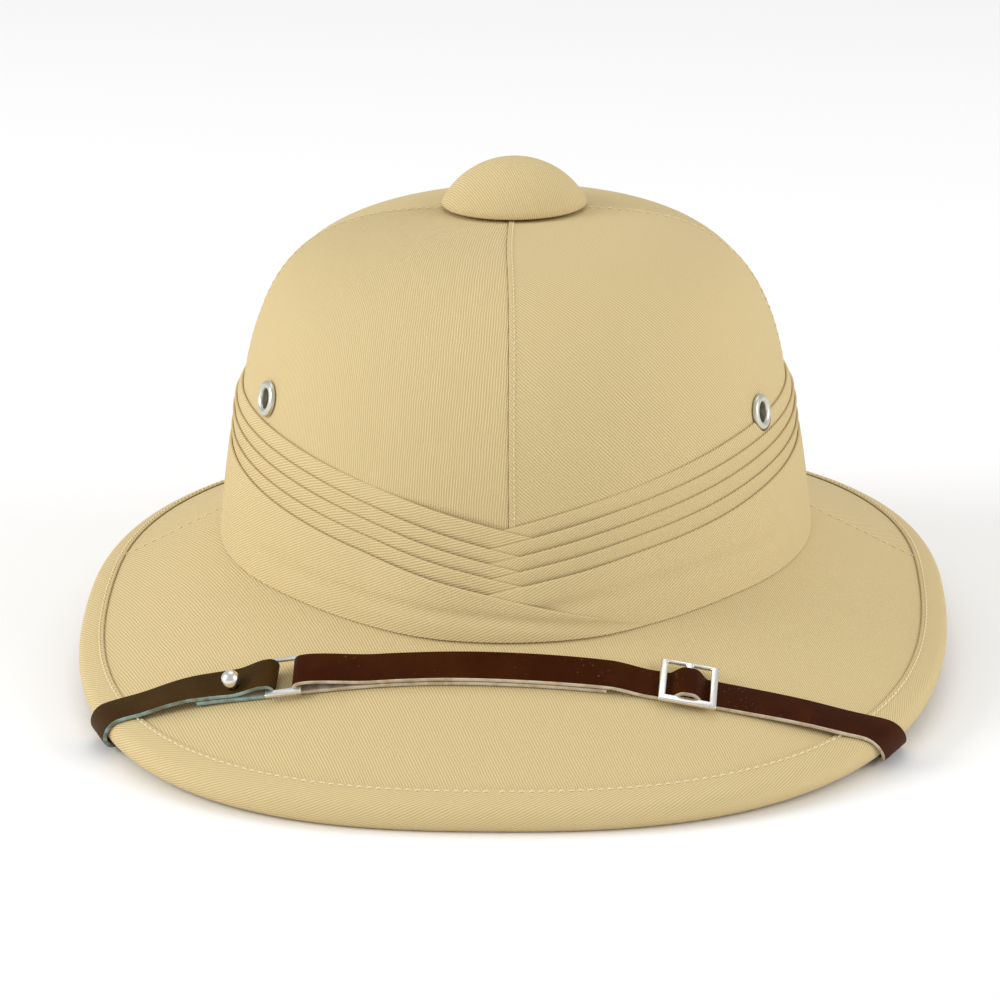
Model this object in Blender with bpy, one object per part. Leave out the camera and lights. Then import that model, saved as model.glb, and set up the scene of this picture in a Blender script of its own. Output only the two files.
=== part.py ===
"""A cloth-covered pith helmet with a pleated pugaree, a top button and a chin strap.

The front faces -Y, the wearer's left is +X, +Z is up and the rim rests on z = 0. Most pieces are lofts: for each
azimuth around the crown a flat section (radius, height) is worked out, and the sections are joined. Azimuth 0 is
the front and grows towards +X. Heights in the tables are measured from the foot of the pugaree.
"""
import math

import bmesh
import bpy
from mathutils import Matrix, Vector

MM = 0.001
GAP = 0.3 * MM
SHARP_ANGLE = math.radians(40)

# Loft grid
STEPS_AROUND = 48
STEP = 2 * math.pi / STEPS_AROUND
CROWN_ROWS = 8
BRIM_ROWS = 3

# Shell: the crown is a squared dome on an oval, the brim runs straight from its foot to the rim
CROWN_HALF_WIDTH = 96.4 * MM
CROWN_LENGTH_RATIO = 1.16
CROWN_HEIGHT = 109.6 * MM
CROWN_RADIUS_POWER = 4.1
CROWN_HEIGHT_POWER = 3.2
TOP_HOLE_RADIUS = 8.1 * MM
TOP_SHIFT = 12.0 * MM
TOP_SHIFT_REACH = 50.0 * MM
CROWN_WALL = 9.0 * MM
BRIM_WALL = 7.0 * MM
RIM_CHAMFER = 2.2 * MM
FOOT_HEIGHT = 2.4 * MM
FOOT_FRONT_DIP = 1.2 * MM
RIM_HALF_WIDTH = 150.3 * MM
RIM_FRONT = 191.0 * MM
RIM_BACK = 200.0 * MM
RIM_FRONT_LEFT_POWER = 2.65
RIM_FRONT_RIGHT_POWER = 2.52
RIM_BACK_POWER = 2.4
RIM_SIDE_HEIGHT = -25.0 * MM
RIM_FRONT_DIP = 12.0 * MM
RIM_BACK_DIP = 9.0 * MM
RIM_DIP_ROUNDING = 0.12

# Cloth
CLOTH = 1.0 * MM
COVER_START = 2.0 * MM
COVER_RIM_INSET = 2.0 * MM
SIDE_SEAM_STEP = 13
BINDING_WIDTH = 9.0 * MM
BINDING_BEND = 2.0 * MM
BINDING_OVERHANG = 2.2 * MM
BINDING_ARCS = 4

# Pugaree: five folded bands, each wrapped once round the crown, with its two ends crossed at the front.
# Heights of the top edge: at the side, halfway to the front, and where the right and left ends cross the front.
FOLDS = (
    # name, side, quarter, front_right, front_left
    ("pugaree_fold_1", 54.5, 49.6, 31.8, 31.8),
    ("pugaree_fold_2", 50.0, 44.2, 27.0, 25.0),
    ("pugaree_fold_3", 45.5, 38.6, 22.5, 20.5),
    ("pugaree_fold_4", 39.5, 32.8, 18.0, 16.2),
    ("pugaree_fold_5", 34.5, 27.0, 13.4, 11.2),
)
FOLD_THICKNESS = 0.7 * MM
FOLD_UNIT = FOLD_THICKNESS + GAP
FOLD_WIDTH = 7.5 * MM
FOLD_MIN_WIDTH = 1.0 * MM
FOLD_LEAN = 0.14
FLARE_SIDE = 6.1 * MM
FLARE_FRONT = 10.2 * MM
FOLD_SLOPE_SIDE = 3.0 * MM
FOLD_SLOPE_QUARTER = 11.2 * MM
FOLD_SLOPE_FRONT = 24.0 * MM
FOLD_QUARTER = math.radians(45)
CROSSING_START = math.radians(45)
CROSSING_FULL = math.radians(8)
RIGHT_END = -1
LEFT_END = 1
LAST_LEFT_END = 3

# Top button
BUTTON_RADIUS = 25.5 * MM
BUTTON_DOME = 15.3 * MM
BUTTON_EDGE = 1.2 * MM
BUTTON_LIFT = 2.4 * MM
BUTTON_STEM_RADIUS = 7.5 * MM
BUTTON_STEM = 13.0 * MM
BUTTON_ARCS = 6
BUTTON_SEGMENTS = 28

# Eyelets
EYELET_RIGHT_AZIMUTH = math.radians(59.5)
EYELET_RIGHT_HEIGHT = 53.5 * MM
EYELET_LEFT_AZIMUTH = math.radians(-56.5)
EYELET_LEFT_HEIGHT = 59.3 * MM
EYELET_HOLE = 3.4 * MM
EYELET_BARREL = 4.1 * MM
EYELET_FLANGE = 6.2 * MM
EYELET_DOME = 1.6 * MM
EYELET_DEPTH = 11.0 * MM
EYELET_SEGMENTS = 20

# Chin strap
STRAP_WIDTH = 12.7 * MM
STRAP_THICKNESS = 1.5 * MM
STRAP_ROUTE = (
    # x, y of the middle of the strap on the front brim, and its roll about its own run
    (-131.0, -122.0, 0.0),
    (-98.0, -127.0, 1.0),
    (-70.0, -132.0, 6.0),
    (-27.0, -135.0, 0.0),
    (20.0, -137.0, 0.0),
    (72.0, -137.0, 0.0),
    (107.0, -135.5, 0.0),
    (128.0, -132.0, 0.0),
)
STRAP_STATION = 4.5 * MM
HUMP_STATION = 1.5 * MM
WRAP_ARCS = 8
STRAP_LOW = CLOTH + 2 * GAP + STRAP_THICKNESS / 2
UNDER_CLEARANCE = 0.9 * MM
LEAN_LENGTH = 28.0 * MM
RIM_RISE_START = 24.0 * MM
RIM_RISE_LENGTH = 8.0 * MM
DESCENT_LEFT = 10.0 * MM
DESCENT_RIGHT = 12.0 * MM
STEP_DOWN_LEFT = 14.0 * MM
STEP_DOWN_RIGHT = 6.0 * MM
TURN_ARCS = 6
LOOP_X = -70.0 * MM
LOOP_LENGTH = 12.4 * MM
LOOP_HEIGHT = 17.0 * MM
LOOP_SIDE_BAR = 1.6 * MM
LOOP_END_BAR = 1.8 * MM
LOOP_TURN = 2.1 * MM
METAL = 1.5 * MM
UNDER_LEFT_END = -99.0 * MM
UNDER_RIGHT_END = 43.0 * MM
SLIDER_X = 59.6 * MM
SLIDER_LENGTH = 19.2 * MM
SLIDER_HEIGHT = 19.8 * MM
SLIDER_ASIDE = 1.0 * MM
SLIDER_BAR = 2.4 * MM
SLIDER_END_BAR = 2.2 * MM
SLIDER_MIDDLE_BAR = 2.2 * MM
STUD_X = -86.4 * MM
STUD_BALL = 3.1 * MM
STUD_STEM = 1.4 * MM
STUD_DEPTH = 3.8 * MM
STUD_ASIDE = 2.6 * MM
STUD_ARCS = 6
ANCHOR_RADIUS = 108.0 * MM
ANCHOR_TAIL = 8.0 * MM
RIVET_HEAD = 3.6 * MM
RIVET_HEAD_THICKNESS = 1.0 * MM
RIVET_STEM = 1.6 * MM
RIVET_DEPTH = 3.0 * MM
HOLE_CLEARANCE = 0.4 * MM
DRILL_SPARE = 1.0 * MM
SMALL_SEGMENTS = 12


# ---------------------------------------------------------------- shape of the helmet

def smooth(value):
    """Eases 0..1 with flat ends."""
    t = min(max(value, 0.0), 1.0)
    return t * t * (3 - 2 * t)


def oval_radius(azimuth, half_width, front, power):
    """Distance from the axis to a superellipse, at an azimuth from the front."""
    across = abs(math.sin(azimuth) / half_width) ** power
    along = abs(math.cos(azimuth) / front) ** power
    return (across + along) ** (-1 / power)


def front_part(azimuth):
    """1 at the front, 0 from the sides backwards."""
    return max(math.cos(azimuth), 0.0) ** 2


def crown_foot_radius(azimuth):
    return oval_radius(azimuth, CROWN_HALF_WIDTH, CROWN_HALF_WIDTH * CROWN_LENGTH_RATIO, 2)


def crown_radius(azimuth, height):
    """Outside of the shell's crown at a height above the pugaree's foot."""
    share = min(max(height / CROWN_HEIGHT, 0.0), 1.0)
    return crown_foot_radius(azimuth) * (1 - share ** CROWN_HEIGHT_POWER) ** (1 / CROWN_RADIUS_POWER)


def foot_point(azimuth):
    """Where the crown meets the brim."""
    return Vector((crown_foot_radius(azimuth), FOOT_HEIGHT - FOOT_FRONT_DIP * front_part(azimuth)))


def rim_point(azimuth):
    """Upper outer edge of the shell's rim, which dips to the front and the back; its front corners differ."""
    if math.cos(azimuth) > 0:
        length, most = RIM_FRONT, RIM_FRONT_DIP
        power = RIM_FRONT_RIGHT_POWER if math.sin(azimuth) > 0 else RIM_FRONT_LEFT_POWER
    else:
        length, power, most = RIM_BACK, RIM_BACK_POWER, RIM_BACK_DIP
    radius = oval_radius(azimuth, RIM_HALF_WIDTH, length, power)
    dip = math.hypot(math.cos(azimuth), RIM_DIP_ROUNDING) - RIM_DIP_ROUNDING
    full_dip = math.hypot(1, RIM_DIP_ROUNDING) - RIM_DIP_ROUNDING
    return Vector((radius, RIM_SIDE_HEIGHT - most * dip / full_dip))


def rim_frame(azimuth):
    """Rim corner of the shell, with the brim's outward run and its upward normal, in a section."""
    rim = rim_point(azimuth)
    run = (rim - foot_point(azimuth)).normalized()
    return rim, run, Vector((-run.y, run.x))


def brim_height(azimuth, radius):
    """Height of the shell's upper brim surface."""
    foot = foot_point(azimuth)
    rim = rim_point(azimuth)
    return foot.y + (rim.y - foot.y) * (radius - foot.x) / (rim.x - foot.x)


def crown_profile(azimuth):
    """Crown from the top hole down to the foot, as (radius, height) points."""
    foot = foot_point(azimuth)
    top_angle = math.acos((TOP_HOLE_RADIUS / crown_foot_radius(azimuth)) ** (CROWN_RADIUS_POWER / 2))
    points = []
    for row in range(CROWN_ROWS):
        angle = top_angle * (1 - row / CROWN_ROWS)
        height = CROWN_HEIGHT * math.sin(angle) ** (2 / CROWN_HEIGHT_POWER)
        points.append(Vector((crown_radius(azimuth, height), height)))
    return points + [foot]


def brim_profile(azimuth, start, inset):
    """Brim from near the foot to near the rim, as (radius, height) points."""
    rim, run, _ = rim_frame(azimuth)
    first = foot_point(azimuth) + run * start
    last = rim - run * inset
    return [first.lerp(last, row / BRIM_ROWS) for row in range(BRIM_ROWS + 1)]


def offset_profile(points, distances):
    """Moves each point of a profile along its outward normal."""
    moved = []
    for index, point in enumerate(points):
        before = points[max(index - 1, 0)]
        after = points[min(index + 1, len(points) - 1)]
        runs = [run.normalized() for run in (point - before, after - point) if run.length > 0]
        normals = [Vector((-run.y, run.x)) for run in runs]
        normal = sum(normals, Vector((0, 0))).normalized()
        moved.append(point + normal * (distances[index] / normal.dot(normals[0])))
    return moved


def layer(points, inner, outer):
    """A thin closed section between two offsets of a profile."""
    count = len(points)
    return offset_profile(points, [outer] * count), offset_profile(points, [inner] * count)


def thicken(points, thickness):
    half = thickness / 2
    return layer(points, -half, half)


def binding_arc(angle, spare):
    """Point of an arc round the rim, in the rim's frame; spare is its distance from the binding's middle."""
    half = (BRIM_WALL + 2 * CLOTH + 3 * GAP) / 2
    out = (BINDING_BEND + BINDING_OVERHANG + spare) * math.cos(angle) - BINDING_BEND
    rise = (half + spare) * math.sin(angle) + (CLOTH + GAP - BRIM_WALL) / 2
    return out, rise


def binding_layer(azimuth):
    """The binding folded over the rim."""
    rim, run, up = rim_frame(azimuth)
    angles = [math.pi / 2 - math.pi * index / BINDING_ARCS for index in range(BINDING_ARCS + 1)]
    path = [binding_arc(angle, 0) for angle in angles]
    path = [(-BINDING_WIDTH, path[0][1])] + path + [(-BINDING_WIDTH, path[-1][1])]
    return thicken([rim + run * out + up * rise for out, rise in path], CLOTH)


def upright(azimuth, radius, height):
    """Point of a section in the helmet's own frame; near the top the axis shifts back to the crown's vent."""
    back = TOP_SHIFT * (1 - smooth((radius - TOP_HOLE_RADIUS) / TOP_SHIFT_REACH))
    return Vector((radius * math.sin(azimuth), back - radius * math.cos(azimuth), height))


def find_rest():
    """How the helmet comes to rest on the lowest points of its front and back rim, with the rim centred."""
    angles = [step * STEP for step in range(STEPS_AROUND)]
    ring = [upright(angle, point.x, point.y) for angle in angles for point in binding_layer(angle)[0]]
    front = min((point for point in ring if point.y < 0), key=lambda point: point.z)
    back = min((point for point in ring if point.y > 0), key=lambda point: point.z)
    lean = Matrix.Rotation(math.atan2(front.z - back.z, back.y - front.y), 4, "X")
    leaned = [lean @ point for point in ring]
    reaches = [point.y for point in leaned]
    lowest = min(point.z for point in leaned)
    return Matrix.Translation((0, -(min(reaches) + max(reaches)) / 2, -lowest)) @ lean


REST = find_rest()
UNREST = REST.inverted()


def place(azimuth, radius, height):
    """World position of a point of a section."""
    return REST @ upright(azimuth, radius, height)


def azimuth_of(x, y):
    return math.atan2(x, -y)


def brim_skin(x, y):
    """World point on the shell's upper brim surface, above or below x, y of the helmet's own frame."""
    azimuth = azimuth_of(x, y)
    radius = math.hypot(x, y)
    return place(azimuth, radius, brim_height(azimuth, radius))


def brim_normal(x, y):
    """Upward normal of the brim there."""
    reach = 1.0 * MM
    along_x = brim_skin(x + reach, y) - brim_skin(x - reach, y)
    along_y = brim_skin(x, y + reach) - brim_skin(x, y - reach)
    return along_x.cross(along_y).normalized()


# ---------------------------------------------------------------- making bodies

def make_material(name, colour, roughness, metallic=0.0):
    material = bpy.data.materials.new(name)
    material.use_nodes = True
    shader = material.node_tree.nodes["Principled BSDF"]
    shader.inputs["Base Color"].default_value = (*colour, 1.0)
    shader.inputs["Roughness"].default_value = roughness
    shader.inputs["Metallic"].default_value = metallic
    material.diffuse_color = (*colour, 1.0)
    return material


def add_body(name, mesh, material, origin=Vector((0, 0, 0))):
    """Closes a bmesh off as a named object whose origin is at a world point."""
    bmesh.ops.recalc_face_normals(mesh, faces=mesh.faces)
    bmesh.ops.translate(mesh, verts=mesh.verts, vec=-origin)
    data = bpy.data.meshes.new(name)
    mesh.to_mesh(data)
    mesh.free()
    data.shade_smooth()
    data.set_sharp_from_angle(angle=SHARP_ANGLE)
    body = bpy.data.objects.new(name, data)
    body.location = origin
    data.materials.append(material)
    bpy.context.scene.collection.objects.link(body)
    return body


def ladder(mesh, left, right):
    """Faces between two rows of vertices."""
    for index in range(len(left) - 1):
        mesh.faces.new((left[index], left[index + 1], right[index + 1], right[index]))


def loft_layers(name, sections, material, closed):
    """Joins thin sections, each a pair of outer and inner rows of world points."""
    mesh = bmesh.new()
    rings = []
    for outer, inner in sections:
        rings.append(([mesh.verts.new(p) for p in outer], [mesh.verts.new(p) for p in inner]))
    pairs = list(zip(rings, rings[1:] + rings[:1] if closed else rings[1:]))
    for (outer, inner), (next_outer, next_inner) in pairs:
        ring = outer + inner[::-1] + outer[:1]
        next_ring = next_outer + next_inner[::-1] + next_outer[:1]
        ladder(mesh, ring, next_ring)
    if not closed:
        for outer, inner in (rings[0], rings[-1]):
            ladder(mesh, outer, inner)
    return add_body(name, mesh, material)


def around(layer_at, first, last, closed=False):
    """Places the sections of a piece from one step to another; open ends stop half a gap short."""
    sections = []
    steps = range(first, last if closed else last + 1)
    for step in steps:
        azimuth = step * STEP
        along = Vector((math.cos(azimuth), math.sin(azimuth), 0))
        side = 0 if closed else (step == first) - (step == last)
        shift = along * (side * GAP / 2)
        outer, inner = layer_at(azimuth)
        placed = [[place(azimuth, p.x, p.y) + shift for p in row] for row in (outer, inner)]
        sections.append(placed)
    return sections


def turned(name, profile, material, axis_point, axis, segments):
    """A solid of revolution from a closed (radius, height) profile about an axis."""
    mesh = bmesh.new()
    turn = Vector((0, 0, 1)).rotation_difference(axis).to_matrix().to_4x4()
    frame = Matrix.Translation(axis_point) @ turn
    rings = []
    for radius, height in profile:
        if radius == 0:
            rings.append([mesh.verts.new(frame @ Vector((0, 0, height)))] * segments)
            continue
        ring = []
        for index in range(segments):
            angle = 2 * math.pi * index / segments
            ring.append(mesh.verts.new(frame @ Vector((radius * math.cos(angle), radius * math.sin(angle), height))))
        rings.append(ring)
    hollow = profile[0][0] > 0
    for ring, after in zip(rings, rings[1:] + rings[:1] if hollow else rings[1:]):
        for index in range(segments):
            corner = (ring[index], ring[index - 1], after[index - 1], after[index])
            mesh.faces.new(list(dict.fromkeys(corner)))
    return add_body(name, mesh, material, axis_point)


def sweep(name, stations, material):
    """A flat strap through stations of (middle point, rung); a rung is longer than 1 where it lies aslant."""
    mesh = bmesh.new()
    rings = []
    for index, (middle, rung) in enumerate(stations):
        before = stations[max(index - 1, 0)][0]
        after = stations[min(index + 1, len(stations) - 1)][0]
        face = (after - before).cross(rung).normalized() * (STRAP_THICKNESS / 2)
        side = rung * (STRAP_WIDTH / 2)
        corners = (middle + side + face, middle - side + face, middle - side - face, middle + side - face)
        rings.append([mesh.verts.new(corner) for corner in corners])
    for ring, after in zip(rings, rings[1:]):
        ladder(mesh, ring + ring[:1], after + after[:1])
    mesh.faces.new(rings[0])
    mesh.faces.new(rings[-1])
    return add_body(name, mesh, material)


def frame_plate(name, columns, rows, windows, frame, material):
    """A flat metal frame: a grid of cells, less its windows, given its thickness."""
    mesh = bmesh.new()
    grid = [[mesh.verts.new((x, y, -METAL / 2)) for x in columns] for y in rows]
    for j in range(len(rows) - 1):
        for i in range(len(columns) - 1):
            if (i, j) not in windows:
                mesh.faces.new((grid[j][i], grid[j][i + 1], grid[j + 1][i + 1], grid[j + 1][i]))
    raised = bmesh.ops.extrude_face_region(mesh, geom=mesh.faces[:])
    lifted = [item for item in raised["geom"] if isinstance(item, bmesh.types.BMVert)]
    bmesh.ops.translate(mesh, verts=lifted, vec=(0, 0, METAL))
    bmesh.ops.transform(mesh, matrix=frame, verts=mesh.verts)
    body = add_body(name, mesh, material, frame.translation)
    bevel = body.modifiers.new("soft edges", "BEVEL")
    bevel.width = METAL / 5
    bevel.segments = 1
    bevel.limit_method = "ANGLE"
    return body


def drill(name, targets, point, axis, radius, depth_out, depth_in):
    """Cuts a round hole along an axis through each target."""
    mesh = bmesh.new()
    bmesh.ops.create_cone(mesh, cap_ends=True, segments=16, radius1=radius, radius2=radius,
                          depth=depth_out + depth_in)
    cutter = add_body(name, mesh, targets[0].data.materials[0])
    turn = Vector((0, 0, 1)).rotation_difference(axis).to_matrix().to_4x4()
    cutter.matrix_world = Matrix.Translation(point + axis * ((depth_out - depth_in) / 2)) @ turn
    cutter.hide_render = True
    cutter.display_type = "WIRE"
    for target in targets:
        cut = target.modifiers.new(name, "BOOLEAN")
        cut.operation = "DIFFERENCE"
        cut.object = cutter
        cut.solver = "EXACT"


# ---------------------------------------------------------------- shell and cloth

def shell_layer(azimuth):
    """The pith, with the lower corner of its rim cut off."""
    rim, run, _ = rim_frame(azimuth)
    brim = [foot_point(azimuth).lerp(rim, 0.5), rim - run * RIM_CHAMFER, rim]
    profile = crown_profile(azimuth) + brim
    foot_wall = (CROWN_WALL + BRIM_WALL) / 2
    walls = [CROWN_WALL] * CROWN_ROWS + [foot_wall, BRIM_WALL, BRIM_WALL, BRIM_WALL - RIM_CHAMFER]
    return profile, offset_profile(profile, [-wall for wall in walls])


def crown_panel_layer(azimuth):
    profile = crown_profile(azimuth)
    profile[-1] = profile[-2].lerp(profile[-1], 0.5)
    return layer(profile, GAP, GAP + CLOTH)


def brim_cover_layer(azimuth):
    return layer(brim_profile(azimuth, COVER_START, COVER_RIM_INSET), GAP, GAP + CLOTH)


def build_shell(material):
    return loft_layers("shell", around(shell_layer, 0, STEPS_AROUND, closed=True), material, closed=True)


def build_crown_panels(material):
    quarter = STEPS_AROUND // 4
    names = ("front_right_side", "back_right_side", "back_left_side", "front_left_side")
    panels = []
    for index, name in enumerate(names):
        sections = around(crown_panel_layer, index * quarter, (index + 1) * quarter)
        panels.append(loft_layers("crown_panel_" + name, sections, material, closed=False))
    return panels


def build_brim_covers(material):
    front = around(brim_cover_layer, -SIDE_SEAM_STEP, SIDE_SEAM_STEP)
    back = around(brim_cover_layer, SIDE_SEAM_STEP, STEPS_AROUND - SIDE_SEAM_STEP)
    loft_layers("brim_cover_front", front, material, closed=False)
    loft_layers("brim_cover_back", back, material, closed=False)


def build_binding(material):
    sections = around(binding_layer, 0, STEPS_AROUND, closed=True)
    return loft_layers("rim_binding", sections, material, closed=True)


# ---------------------------------------------------------------- pugaree

def ease_between(share, start, start_slope, end, end_slope):
    """Hermite curve from start to end, with the slopes given over the whole span."""
    return (
        start * (2 * share ** 3 - 3 * share ** 2 + 1)
        + start_slope * (share ** 3 - 2 * share ** 2 + share)
        + end * (3 * share ** 2 - 2 * share ** 3)
        + end_slope * (share ** 3 - share ** 2)
    )


def fold_edge(fold, azimuth, on_right):
    """Height of a fold's top edge; past the middle of the front it keeps falling in a straight line.

    The slopes are the rise over a quarter of the way round the front half.
    """
    _, side, quarter, front_right, front_left = fold
    front = (front_right if on_right else front_left) * MM
    reach = azimuth if on_right else -azimuth
    share = reach / FOLD_QUARTER
    if share < 0:
        return front + FOLD_SLOPE_FRONT * share
    if share < 1:
        return ease_between(share, front, FOLD_SLOPE_FRONT, quarter * MM, FOLD_SLOPE_QUARTER)
    return ease_between(min(share - 1, 1), quarter * MM, FOLD_SLOPE_QUARTER, side * MM, FOLD_SLOPE_SIDE)


def crossing(azimuth):
    """1 where the two ends of the folds lie over each other at the front, 0 at the sides."""
    return smooth((CROSSING_START - abs(azimuth)) / (CROSSING_START - CROSSING_FULL))


def cover_height(azimuth, radius):
    """Lowest height that clears the brim's cover at a radius."""
    rise = (rim_point(azimuth) - foot_point(azimuth)).normalized()
    return brim_height(azimuth, radius) + (CLOTH + 2 * GAP) / rise.x + GAP


def fold_offset(rank, azimuth, height):
    """Distance of a fold from the crown's cloth: at the sides it leans out over the bottom of the fold above it."""
    level = fold_edge(FOLDS[0], abs(azimuth), True) - FOLD_WIDTH
    return FOLD_UNIT * rank - FOLD_LEAN * (1 - crossing(azimuth)) * (level - height)


def wide_fold_offset(azimuth, height, floor):
    """The same for the wide lowest band, which flares out straight to the pugaree's foot."""
    top = fold_edge(FOLDS[-1], abs(azimuth), True)
    crossed = crossing(azimuth)
    at_top = fold_offset((len(FOLDS) - 1) * (1 + crossed), azimuth, top)
    at_floor = FLARE_SIDE + (FLARE_FRONT - FLARE_SIDE) * crossed
    return at_top + (at_floor - at_top) * (top - height) / (top - floor)


def fold_layer(index, azimuth, on_right):
    """Section of one fold: its outer and inner rows, top edge first."""
    last = index == len(FOLDS)
    crossed = crossing(azimuth)
    over = 0 if on_right else crossed
    if last and not on_right and azimuth > 0:
        over = 1
    flare = FLARE_SIDE + (FLARE_FRONT - FLARE_SIDE) * crossed
    floor = cover_height(azimuth, crown_radius(azimuth, 0) + CLOTH + 2 * GAP + flare)
    top = fold_edge(FOLDS[index - 1], azimuth, on_right)
    bottom = floor if last else max(floor, top - FOLD_WIDTH)
    edge = max(top, bottom + FOLD_MIN_WIDTH)
    rows = []
    for thickness in (FOLD_THICKNESS, 0):
        row = []
        for height in (edge, bottom):
            if last:
                offset = wide_fold_offset(azimuth, height, floor) + FOLD_UNIT * over
            else:
                offset = fold_offset((index - 1) * (1 + crossed) + over, azimuth, height)
            row.append(Vector((crown_radius(azimuth, height) + CLOTH + 2 * GAP + offset + thickness, height)))
        rows.append(row)
    return rows


def build_fold(index, material):
    """One band from its right end at the front, round the back, to its left end at the front."""
    left_end = LAST_LEFT_END if index == len(FOLDS) else LEFT_END
    half = STEPS_AROUND // 2
    sections = []
    for step in range(RIGHT_END, STEPS_AROUND + left_end + 1):
        on_right = step < half
        azimuth = (step if on_right else step - STEPS_AROUND) * STEP
        rows = fold_layer(index, azimuth, on_right)
        sections.append([[place(azimuth, p.x, p.y) for p in row] for row in rows])
    return loft_layers(FOLDS[index - 1][0], sections, material, closed=False)


# ---------------------------------------------------------------- button and eyelets

def build_button(material):
    """A domed cap over the crown's vent, with a stem down through the hole."""
    profile = [(0, -BUTTON_STEM), (BUTTON_STEM_RADIUS, -BUTTON_STEM), (BUTTON_STEM_RADIUS, 0), (BUTTON_RADIUS, 0)]
    ball = (BUTTON_RADIUS ** 2 + BUTTON_DOME ** 2) / (2 * BUTTON_DOME)
    reach = math.asin(BUTTON_RADIUS / ball)
    for step in range(BUTTON_ARCS + 1):
        angle = reach * (1 - step / BUTTON_ARCS)
        profile.append((ball * math.sin(angle), BUTTON_EDGE + BUTTON_DOME - ball * (1 - math.cos(angle))))
    base = place(0, 0, CROWN_HEIGHT + BUTTON_LIFT)
    upward = REST.to_3x3() @ Vector((0, 0, 1))
    return turned("top_button", profile, material, base, upward, BUTTON_SEGMENTS)


def eyelet_axis(azimuth, middle):
    """Point on the crown's cloth and outward normal at an eyelet."""
    reach = 1.0 * MM
    turn = 0.01

    def crown_at(angle, height):
        return place(angle, crown_radius(angle, height), height)

    along = crown_at(azimuth + turn, middle) - crown_at(azimuth - turn, middle)
    upward = crown_at(azimuth, middle + reach) - crown_at(azimuth, middle - reach)
    normal = along.cross(upward).normalized()
    return crown_at(azimuth, middle) + normal * (GAP + CLOTH), normal


def build_eyelet(name, azimuth, middle, shell, panel, fold, material):
    """A domed metal ring with a barrel through the cloth and the shell."""
    point, normal = eyelet_axis(azimuth, middle)
    crest = (EYELET_HOLE + EYELET_FLANGE) / 2
    profile = (
        (EYELET_HOLE, -EYELET_DEPTH),
        (EYELET_BARREL, -EYELET_DEPTH),
        (EYELET_BARREL, GAP + EYELET_DOME / 4),
        (EYELET_FLANGE, GAP),
        (EYELET_FLANGE, GAP + EYELET_DOME / 3),
        (crest, GAP + EYELET_DOME),
        (EYELET_HOLE, GAP + EYELET_DOME / 2),
    )
    turned(name, profile, material, point, normal, EYELET_SEGMENTS)
    reach = EYELET_DEPTH / 2
    drill(name + "_bore", (shell, panel), point, normal, EYELET_BARREL + HOLE_CLEARANCE, reach, 4 * reach)
    drill(name + "_seat", (fold,), point, normal, EYELET_FLANGE + HOLE_CLEARANCE, reach, reach)


# ---------------------------------------------------------------- chin strap

def route_at(x):
    """Plan y and roll of the strap at x, on a smooth curve through the route's rows."""
    rows = [tuple(value * MM for value in row[:2]) + (math.radians(row[2]),) for row in STRAP_ROUTE]
    rows = [tuple(2 * a - b for a, b in zip(rows[0], rows[1]))] + rows
    rows.append(tuple(2 * a - b for a, b in zip(rows[-1], rows[-2])))
    index = 1
    while index < len(rows) - 3 and x > rows[index + 1][0]:
        index += 1
    before, start, end, after = rows[index - 1:index + 3]
    span = end[0] - start[0]
    share = (x - start[0]) / span
    values = []
    for axis in (1, 2):
        start_slope = (end[axis] - before[axis]) / (end[0] - before[0]) * span
        end_slope = (after[axis] - start[axis]) / (after[0] - start[0]) * span
        values.append(ease_between(share, start[axis], start_slope, end[axis], end_slope))
    return values


def strap_frame(x):
    """Skin point, run, width direction and normal of the strap over the brim at x."""
    y, roll = route_at(x)
    step = 1.0 * MM
    run = brim_skin(x + step, route_at(x + step)[0]) - brim_skin(x - step, route_at(x - step)[0])
    run.normalize()
    normal = brim_normal(x, y)
    across = run.cross(normal).normalized()
    turn = Matrix.Rotation(roll, 3, run)
    return brim_skin(x, y), run, turn @ across, turn @ run.cross(-across)


def lift_near_rim(x, y):
    """Extra height that carries the strap over the binding."""
    azimuth = azimuth_of(x, y)
    inside = rim_point(azimuth).x - math.hypot(x, y)
    return (CLOTH + GAP) * smooth((RIM_RISE_START - inside) / RIM_RISE_LENGTH)


def roll_lift(x):
    """Extra height that keeps a rolled strap's lower edge clear of the brim."""
    return STRAP_WIDTH / 2 * math.sin(abs(route_at(x)[1]))


def strap_point(x, lift):
    """A station of the strap at x, its middle lifted off the shell."""
    skin, _, across, _ = strap_frame(x)
    y = route_at(x)[0]
    normal = brim_normal(x, y)
    return skin + normal * (lift + lift_near_rim(x, y) + roll_lift(x)), across


def stretch(start, end, lift, spacing=STRAP_STATION):
    """Stations from one x to another, with the lift given as a function of x."""
    count = max(round(abs(end - start) / spacing), 1)
    return [strap_point(x, lift(x)) for x in (start + (end - start) * i / count for i in range(count + 1))]


def loop_centre_lift():
    return STRAP_LOW + LOOP_TURN


def turn_round_bar(bar_x, toward):
    """Half a turn of the strap round a side bar of the loop, from below to above it."""
    _, run, across, normal = strap_frame(bar_x)
    middle = strap_point(bar_x, loop_centre_lift())[0]
    stations = []
    for index in range(TURN_ARCS + 1):
        angle = -math.pi / 2 + math.pi * index / TURN_ARCS
        out = run * (toward * LOOP_TURN * math.cos(angle))
        stations.append((middle + out + normal * (LOOP_TURN * math.sin(angle)), across))
    return stations


def wrap_start(side):
    """The x at which the strap reaches the bend of the binding."""
    near, far = side * STRAP_STATION, side * RIM_HALF_WIDTH
    for _ in range(40):
        x = (near + far) / 2
        y = route_at(x)[0]
        rim, run, _ = rim_frame(azimuth_of(x, y))
        outside = math.hypot(x, y) > rim.x - BINDING_BEND * run.x
        near, far = (near, x) if outside else (x, far)
    return x


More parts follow.
